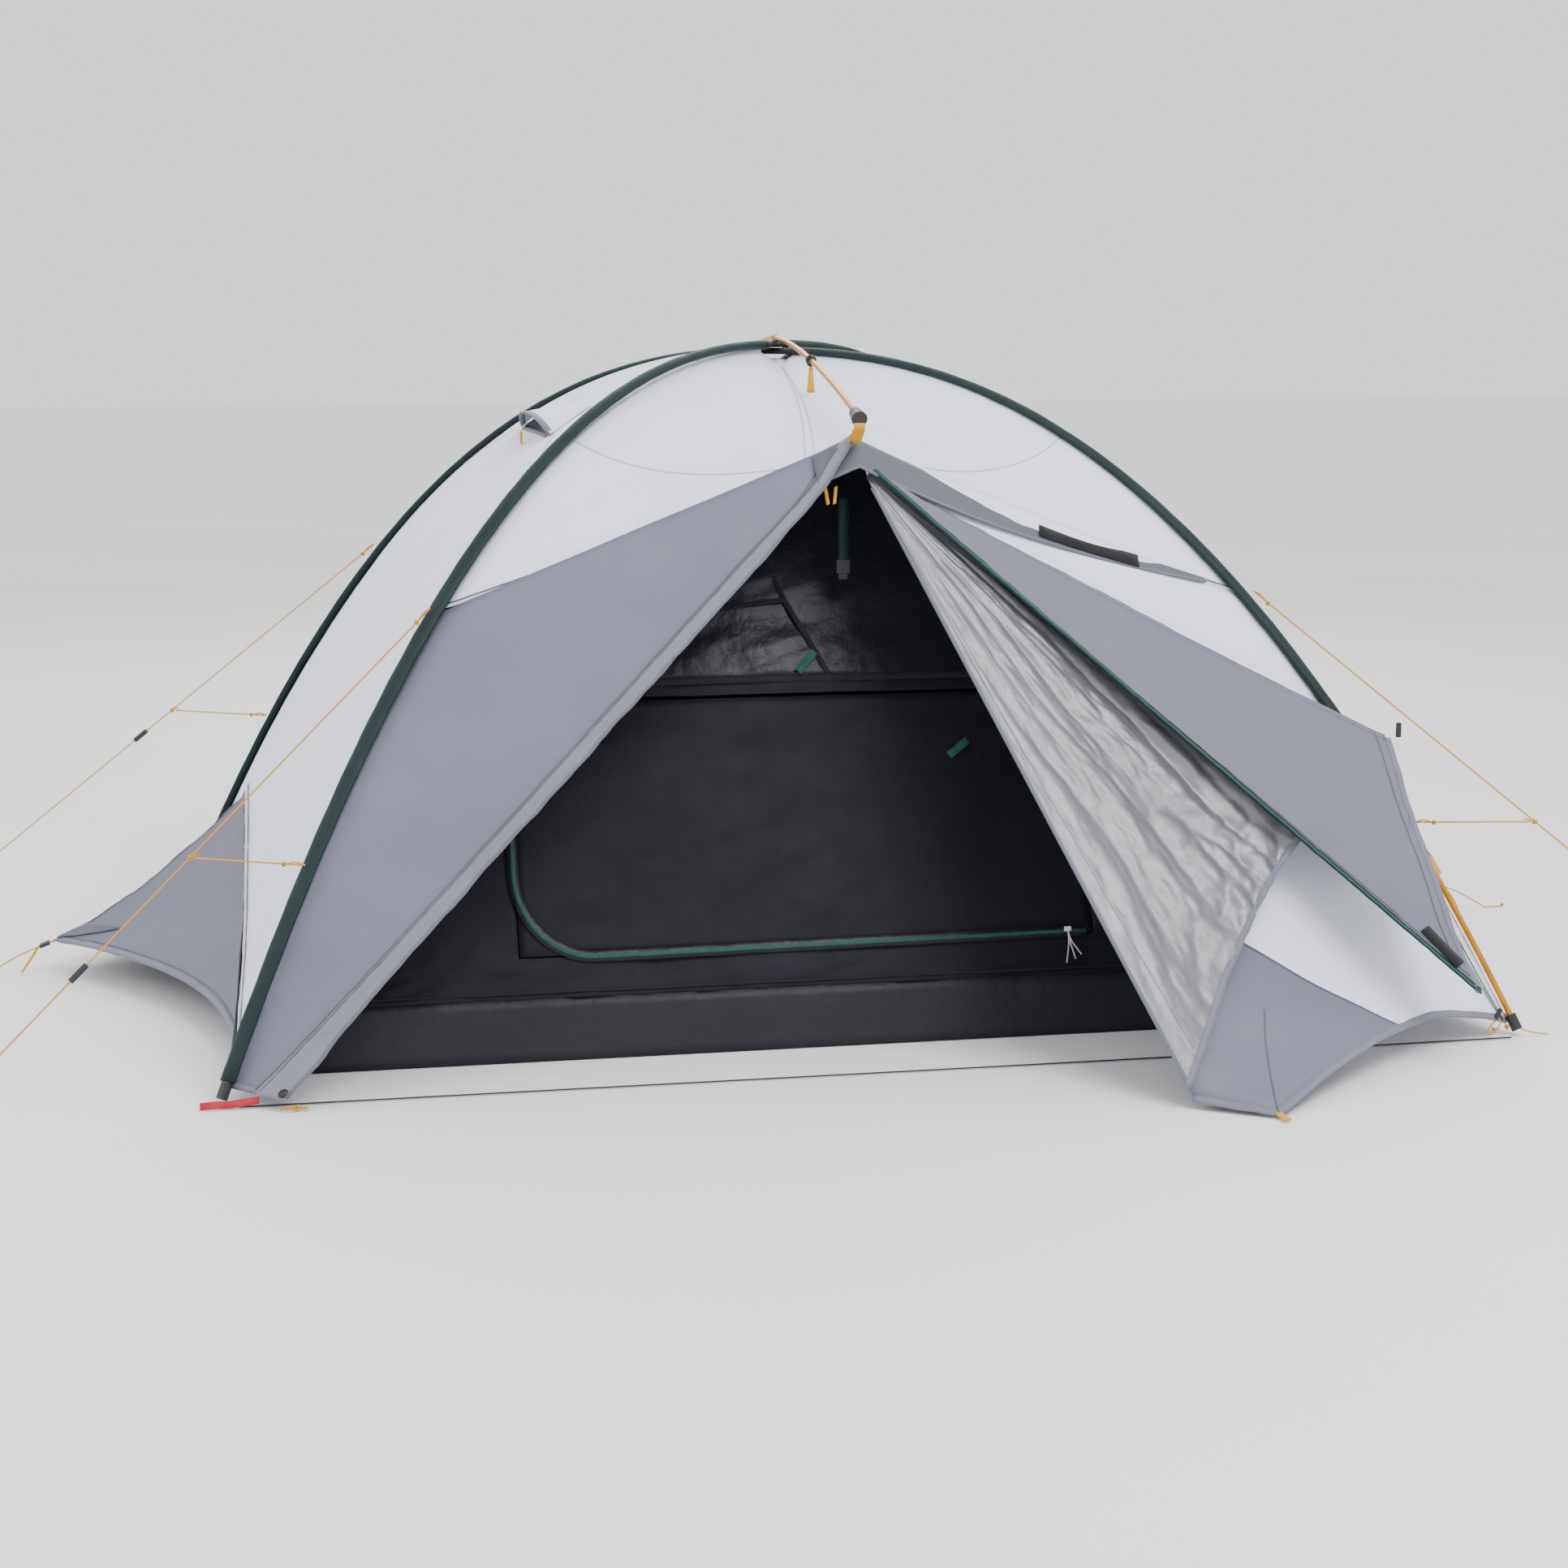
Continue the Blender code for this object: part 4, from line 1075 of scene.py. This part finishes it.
def wall(c, r):
    """Front wall round its doorway: c 0 to 3 and r 0 to 3, where 1 to 2 is the doorway both ways."""
    left, right, bottom, top = DOORWAY
    k, t = third(r)
    height = mix(*((WALL_FOOT, bottom), (bottom, top), (top, INNER_SEAM_HEIGHT + 0.001))[k], t)
    half = inner_half(height)[0] - WALL_INSET
    k, t = third(c)
    return wall_point(mix(*((-half, left), (left, right), (right, half))[k], t), height)


def door_leaf(u, v):
    left, right, bottom, top = DOORWAY
    return wall_point(mix(left + 0.002, right - 0.002, u), mix(bottom + 0.002, top - 0.005, v))


def upper_front(u, v):
    height = mix(INNER_SEAM_HEIGHT, INNER_TOP, v)
    return wall_point((inner_half(height)[0] - WALL_INSET) * u, height)


def end_wall(u, v):
    height = mix(WALL_FOOT, INNER_TOP, v)
    x, y = inner_half(height)
    back = y - 0.008
    front = max(-back, front_wall_y(height) + 0.004)
    return Vector((-x, mix(front, back, (u + 1) / 2), height))


def rear_wall(u, v):
    height = mix(WALL_FOOT, INNER_TOP, v)
    x, y = inner_half(height)
    return Vector(((x - 0.008) * u, y, height))


def tub_wall(u, v):
    """The floor's raised edge: u runs once round, v from the ground to the seam."""
    x, y = (mix(low, high, v) for low, high in zip(TUB_HALF, inner_half(TUB_HEIGHT)))
    corners = [(-x, -y), (x, -y), (x, y), (-x, y)]
    k = int(u % 4)
    a, b = corners[k], corners[(k + 1) % 4]
    return Vector((*(mix(p, q, u % 4 - k) for p, q in zip(a, b)), 0.001 + 0.101 * v))


def floor_sheet(u, v):
    return Vector((FLOOR_HALF[0] * u, FLOOR_HALF[1] * v, 0.0022))


def slack(u, v, p):
    """Dark inner cloth: long slanting folds."""
    return (0.0080 * ripple((p.x * 0.5 + p.z, p.y, p.z * 2.2 - p.x * 0.6), 0.16, 2.0)
            + 0.0035 * ripple((p.x * 0.3 + p.z, p.y, p.z * 3.0 - p.x), 0.05, 5.0))


def gathers(u, v, p):
    return slack(u, v, p) + 0.0030 * ripple((p.x * 3, 0, p.z * 0.5), 0.03, 3.0) * near(v, (0.0,), 0.25)


def frame_folds(c, r, p):
    ease = 1 - near(c, (1.0, 2.0), 0.2) if 0.8 < r < 2.2 else 1 - near(r, (1.0, 2.0), 0.2)
    return slack(c, r, p) * max(0.15, ease)


def leaf_folds(u, v, p):
    return slack(u, v, p) * min(1.0, 6 * min(u, 1 - u, v, 1 - v) + 0.1)


def make_front_wall():
    """The front wall's cloth round the doorway, cut as one piece with a hole."""
    work, _, area = grid_mesh(wall, steps(0.0, 3.0, 90), steps(0.0, 3.0, 48), frame_folds)
    left, right, bottom, top = DOORWAY
    inside = [f for f in work.faces if left < f.calc_center_median().x < right
              and bottom < f.calc_center_median().z < top]
    area -= sum(f.calc_area() for f in inside)
    bmesh.ops.delete(work, geom=inside, context="FACES")
    made = finish_mesh("inner_front_cloth", work, "inner")
    thicken(made, CLOTH)
    settle(made, "inner", nodes=["inner_front_frame"])


def make_inner():
    make_front_wall()
    cloth("inner_door_cloth", door_leaf, unit(60), unit(30), "inner", "inner_door_leaf",
          ["inner_door"], leaf_folds)
    cloth("inner_upper_cloth", upper_front, signed(110), unit(40), "inner_gloss", nodes=["inner_front_mesh"],
          wrinkle=gathers)
    for name, sign in (("left", 1), ("right", -1)):
        def form(u, v, sign=sign):
            x, y, z = end_wall(u, v)
            return Vector((x * sign, y, z))
        cloth(f"inner_{name}_cloth", form, signed(60), unit(40), "inner", nodes=["inner_wall_" + name],
              wrinkle=slack)
    cloth("inner_rear_cloth", rear_wall, signed(80), unit(40), "inner", nodes=["inner_wall_rear"],
          wrinkle=slack)
    cloth("tub_cloth", tub_wall, steps(0.0, 3.9999, 280), unit(6), "tub",
          wrinkle=lambda u, v, p: 0.0030 * v * ripple((p.x, p.y, p.z * 0.4), 0.05, 6.0))
    cloth("floor_cloth", floor_sheet, signed(60), signed(50), "tub", nodes=["inner_floor"],
          wrinkle=lambda u, v, p: 0.0008 * ripple(p, 0.08, 1.0))


def wall_tape(name, route, width, look, lift, slot=None):
    """A tape or seam along a route of (x, height) on the inner tent's front wall."""
    points = [wall_point(x, z, lift) for x, z in route]
    after, before = points[1:] + points[-1:], points[:1] + points[:-1]
    sides = [(b - a).cross(Vector((0, -1, 0.3))) for a, b in zip(before, after)]
    return ribbon(name, points, sides, width, look, drift=0.0006, slot=slot)


def between(a, b, count):
    return [(mix(a[0], b[0], t), mix(a[1], b[1], t)) for t in unit(count)]


def make_inner_trim():
    bend = [(-0.602 + 0.13 * (1 - math.cos(a)), 0.300 - 0.135 * math.sin(a))
            for a in steps(0.0, math.pi / 2, 14)]
    zip_route = ([(-0.602, z) for z in steps(0.560, 0.310, 10)] + bend
                 + [(x, 0.165 + 0.008 * (x + 0.46)) for x in steps(-0.45, 0.385, 40)])
    wall_tape("inner_zip_tape", zip_route, 0.020, "inner_gloss", 0.0050, "inner_charcoal")
    wall_tape("inner_zip_teeth", zip_route, 0.0060, "green_zip", 0.0066)
    top_seam = [(x, INNER_SEAM_HEIGHT) for x in steps(-0.68, 0.68, 120)]
    wall_tape("inner_top_seam", top_seam, 0.012, "velcro", 0.0050, "inner_charcoal")
    low_seam = [(x, 0.112) for x in steps(-0.955, 0.955, 140)]
    wall_tape("inner_low_seam", low_seam, 0.0030, "velcro", 0.0045, "inner_charcoal")
    for k, route in enumerate((((-0.12, 0.79), (-0.095, 0.73), (-0.030, 0.605)),
                               ((-0.19, 0.72), (-0.095, 0.73)))):
        path = []
        for a, b in zip(route, route[1:]):
            path += between(a, b, 14)[:-1]
        wall_tape(f"ruched_seam_{k}", path + [route[-1]], 0.009, "velcro", 0.0060, "inner_charcoal")
    for k, (a, b) in enumerate((((-0.052, 0.645), (-0.086, 0.612)), ((0.206, 0.492), (0.170, 0.466)))):
        wall_tape(f"inner_tag_{k}", between(a, b, 6), 0.014, "green_zip", 0.012)
    _, right, bottom, _ = DOORWAY
    spot = wall_point(right - 0.050, bottom + 0.008, 0.0170)
    for k, (dx, dz) in enumerate(((0.010, -0.046), (-0.006, -0.052), (0.020, -0.038))):
        pull = smooth(route_from(spot, (0, 0, 0), (dx * 0.2, -0.008, dz * 0.4), (dx, -0.014, dz)), 0.005)
        rounded_tube(f"zip_pull_cord_{k}", pull, 0.0011, "cord_white", "inner_slider")
    top = Vector((0.0, -0.585, 0.912))
    strap = [top - Vector((0, 0.002 * math.sin(9 * t), 0.112 * t)) for t in unit(20)]
    ribbon("strap_webbing", strap, (1, 0, 0), 0.019, "green", "strap", 0.0016, ["peak_strap"])
    block("strap_buckle", (0.026, 0.006, 0.026), top - up(0.121), "strap", bevel=0.003)
    block("strap_bar", (0.018, 0.004, 0.012), top - up(0.138), "strap")


# Webbing, toggles and knots

def loop_of_cord(name, at, long, wide, direction, look="cord"):
    """A small loop of cord hanging from at along direction."""
    direction = Vector(direction).normalized()
    side = direction.cross(up(1) if abs(direction.z) < 0.9 else Vector((1, 0, 0))).normalized()
    points = [Vector(at) + direction * long * (1 - math.cos(a)) / 2 + side * wide * math.sin(a) / 2
              for a in steps(0.0, 2 * math.pi, 28)]
    rounded_tube(name, points, CORD_RADIUS * 0.9, look)


def route_from(start, *offsets):
    return [start + Vector(offset) for offset in offsets]


def make_ridge_pull():
    """The yellow tab under the ridge clip, and the cord that lashes the clip to the pole."""
    clip = ridge_point(-0.32)
    rows = []
    for t in unit(10):
        middle, half = clip - up(0.0125 + 0.046 * t), Vector((0.0035 + 0.0035 * t, 0, 0))
        rows.append([middle - half, middle + half])
    shell("ridge_pull", rows, "yellow", 0.0022, body="pull_tab", nodes=["ridge_pull_tab"])
    for k, x in enumerate((-0.0085, 0.0085)):
        wrap = [clip + Vector((x * math.cos(a), 0.004 * (k * 2 - 1), 0.010 * math.sin(a) - 0.001))
                for a in steps(-math.pi / 2, math.pi / 2, 12)]
        rounded_tube(f"clip_cord_{k}", wrap, 0.0014, "cord_dark")


def make_front_left_foot():
    foot = Vector((-1.078, -1.006, 0.0))
    tab = route_from(foot, (-0.052, -0.026, 0.0068), (-0.030, -0.026, 0.0078), (-0.005, -0.026, 0.0073),
                     (0.018, -0.026, 0.010), (0.040, -0.026, 0.0125))
    ribbon("foot_tab_red", tab, (0, 0.35, 1), 0.012, "red", thickness=0.0014)
    toggle = [foot + Vector((0.078, -0.050, 0.018 + 0.016 * t)) for t in unit(10)]
    radii = [0.0022 + 0.0078 * math.sin(math.pi * i / 10) ** 0.6 for i in range(11)]
    rounded_tube("foot_toggle", toggle, radii, "black", sides=POLE_SIDES)
    loop_of_cord("foot_loop", foot + Vector((0.070, -0.054, 0.004)), 0.044, 0.010, (1, -0.05, 0))
    knot("foot_knot", foot + Vector((0.098, -0.056, 0.006)), (1, 0, 0), 0.0042)


def make_front_right_foot():
    corner = Vector((1.088, -1.004, 0.014))
    knot("corner_knot", corner + Vector((-0.016, -0.012, 0.004)), (1, 0, 0.2), 0.0040)
    loop_of_cord("corner_loop", corner + Vector((-0.030, -0.010, 0.016)), 0.034, 0.016, (-0.5, -0.3, -0.45))
    knot("corner_loop_knot", corner + Vector((-0.042, -0.018, 0.002)), (-0.5, 0, -1), 0.0036)
    tail = route_from(corner, (0, -0.002, 0.002), (0.030, -0.010, -0.008), (0.058, -0.016, -0.0115))
    rounded_tube("corner_tail", smooth(tail, 0.006), CORD_RADIUS * 0.9, "cord")
    block("corner_hook", (0.008, 0.006, 0.020), corner + Vector((-0.030, -0.006, 0.026)), tilt=0.5)


def make_side_peg(name, side):
    out, peg = side((-1, 0, 0)), side(SIDE_PEG)
    tilt = math.radians(20 if out.x > 0 else -20)
    block("side_lock_" + name, (0.020, 0.024, 0.006), peg + out * 0.020 - up(0.007), tilt=tilt)
    strip = [peg + out * d + up(z) for d, z in ((-0.045, 0.010), (-0.02, 0.005), (0.0, -0.001),
                                                (0.018, -0.006), (0.034, -0.013))]
    ribbon("side_web_" + name, strip, (0, 1, 0), 0.015, "yellow", thickness=0.0016)
    loop_of_cord("side_loop_" + name, peg + out * 0.030 - up(0.010), 0.060, 0.034, out * 0.55 - up(0.8),
                 "yellow")


def make_small_pieces():
    make_ridge_pull()
    for name, side in DOORS:
        webbing_loop = [side(p) for p in ((0, -0.700, 1.050), (0, -0.7035, 1.042), (0, -0.7025, 1.030))]
        ribbon("peak_loop_" + name, webbing_loop, (1, 0, 0), 0.019, "yellow", thickness=0.0016)
    make_front_left_foot()
    hem_tab = [HEM_PEG + Vector((0.001 * k, 0.002 - 0.006 * k, 0.002 - 0.0008 * k)) for k in range(6)]
    ribbon("hem_tab", hem_tab, (1, 0.1, 0), 0.012, "yellow", thickness=0.0024)
    make_front_right_foot()
    for name, side in ENDS:
        make_side_peg(name, side)
    for k, (start, sway) in enumerate((((-0.052, -0.672, 0.935), 0.5), ((-0.034, -0.676, 0.936), -0.3))):
        tab = [Vector(start) + Vector((sway * 0.010, -0.002, -0.030)) * t for t in unit(5)]
        ribbon(f"zip_tab_{k}", tab, (1, 0, 0.4), 0.006, "yellow", thickness=0.0014, slot="zip_yellow")


def dress_cad():
    """The real small parts that stay as they are get their own procedural finishes."""
    looks = {"adjuster": "black", "foot_cup": "black", "ridge_cap": "black", "ridge_clip": "black",
             "door_hook": "black", "front_zip_slider": "yellow", "inner_zip_slider": "pull_white",
             "peak_tab": "yellow", "vent_prop": "yellow"}
    for node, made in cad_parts.items():
        for start, look in looks.items():
            if node.startswith(start):
                made.data.materials.clear()
                made.data.materials.append(LOOK[look])


make_vents()
make_inner()
make_inner_trim()
make_small_pieces()
dress_cad()


# Floor, lights and the last lines

def make_stage():
    n = Nodes("studio_floor")
    n.link(n.ramp(n.noise(0.6, 3.0), (0.88, 0.88, 0.88), (0.92, 0.92, 0.92)), n.shader.inputs["Base Color"])
    n.set(Roughness=0.7)
    work = bmesh.new()
    bmesh.ops.create_grid(work, x_segments=1, y_segments=1, size=30.0)
    mesh = bpy.data.meshes.new("studio_floor")
    work.to_mesh(mesh)
    work.free()
    ground = bpy.data.objects.new("studio_floor", mesh)
    ground.location = (0, 0, -0.001)
    mesh.materials.append(n.material)
    bpy.context.scene.collection.objects.link(ground)


def area_light(name, place, aim_at, size, power):
    lamp = bpy.data.lights.new(name, "AREA")
    lamp.shape = "DISK"
    lamp.size = size
    lamp.energy = power
    made = bpy.data.objects.new(name, lamp)
    made.location = place
    made.rotation_euler = (Vector(aim_at) - Vector(place)).to_track_quat("-Z", "Y").to_euler()
    bpy.context.scene.collection.objects.link(made)


def make_lights():
    world = bpy.data.worlds.new("studio")
    bpy.context.scene.world = world
    world.use_nodes = True
    world.node_tree.nodes["Background"].inputs["Color"].default_value = (0.97, 0.98, 1.0, 1)
    world.node_tree.nodes["Background"].inputs["Strength"].default_value = 1.35
    area_light("key", (1.5, -3.6, 4.6), (0, 0, 0.4), 3.2, 230)
    area_light("fill", (-4.5, -2.0, 2.6), (0, 0, 0.4), 3.5, 60)
    area_light("rim", (0.5, 4.5, 3.6), (0, 0, 0.5), 3.0, 90)


make_stage()
make_lights()
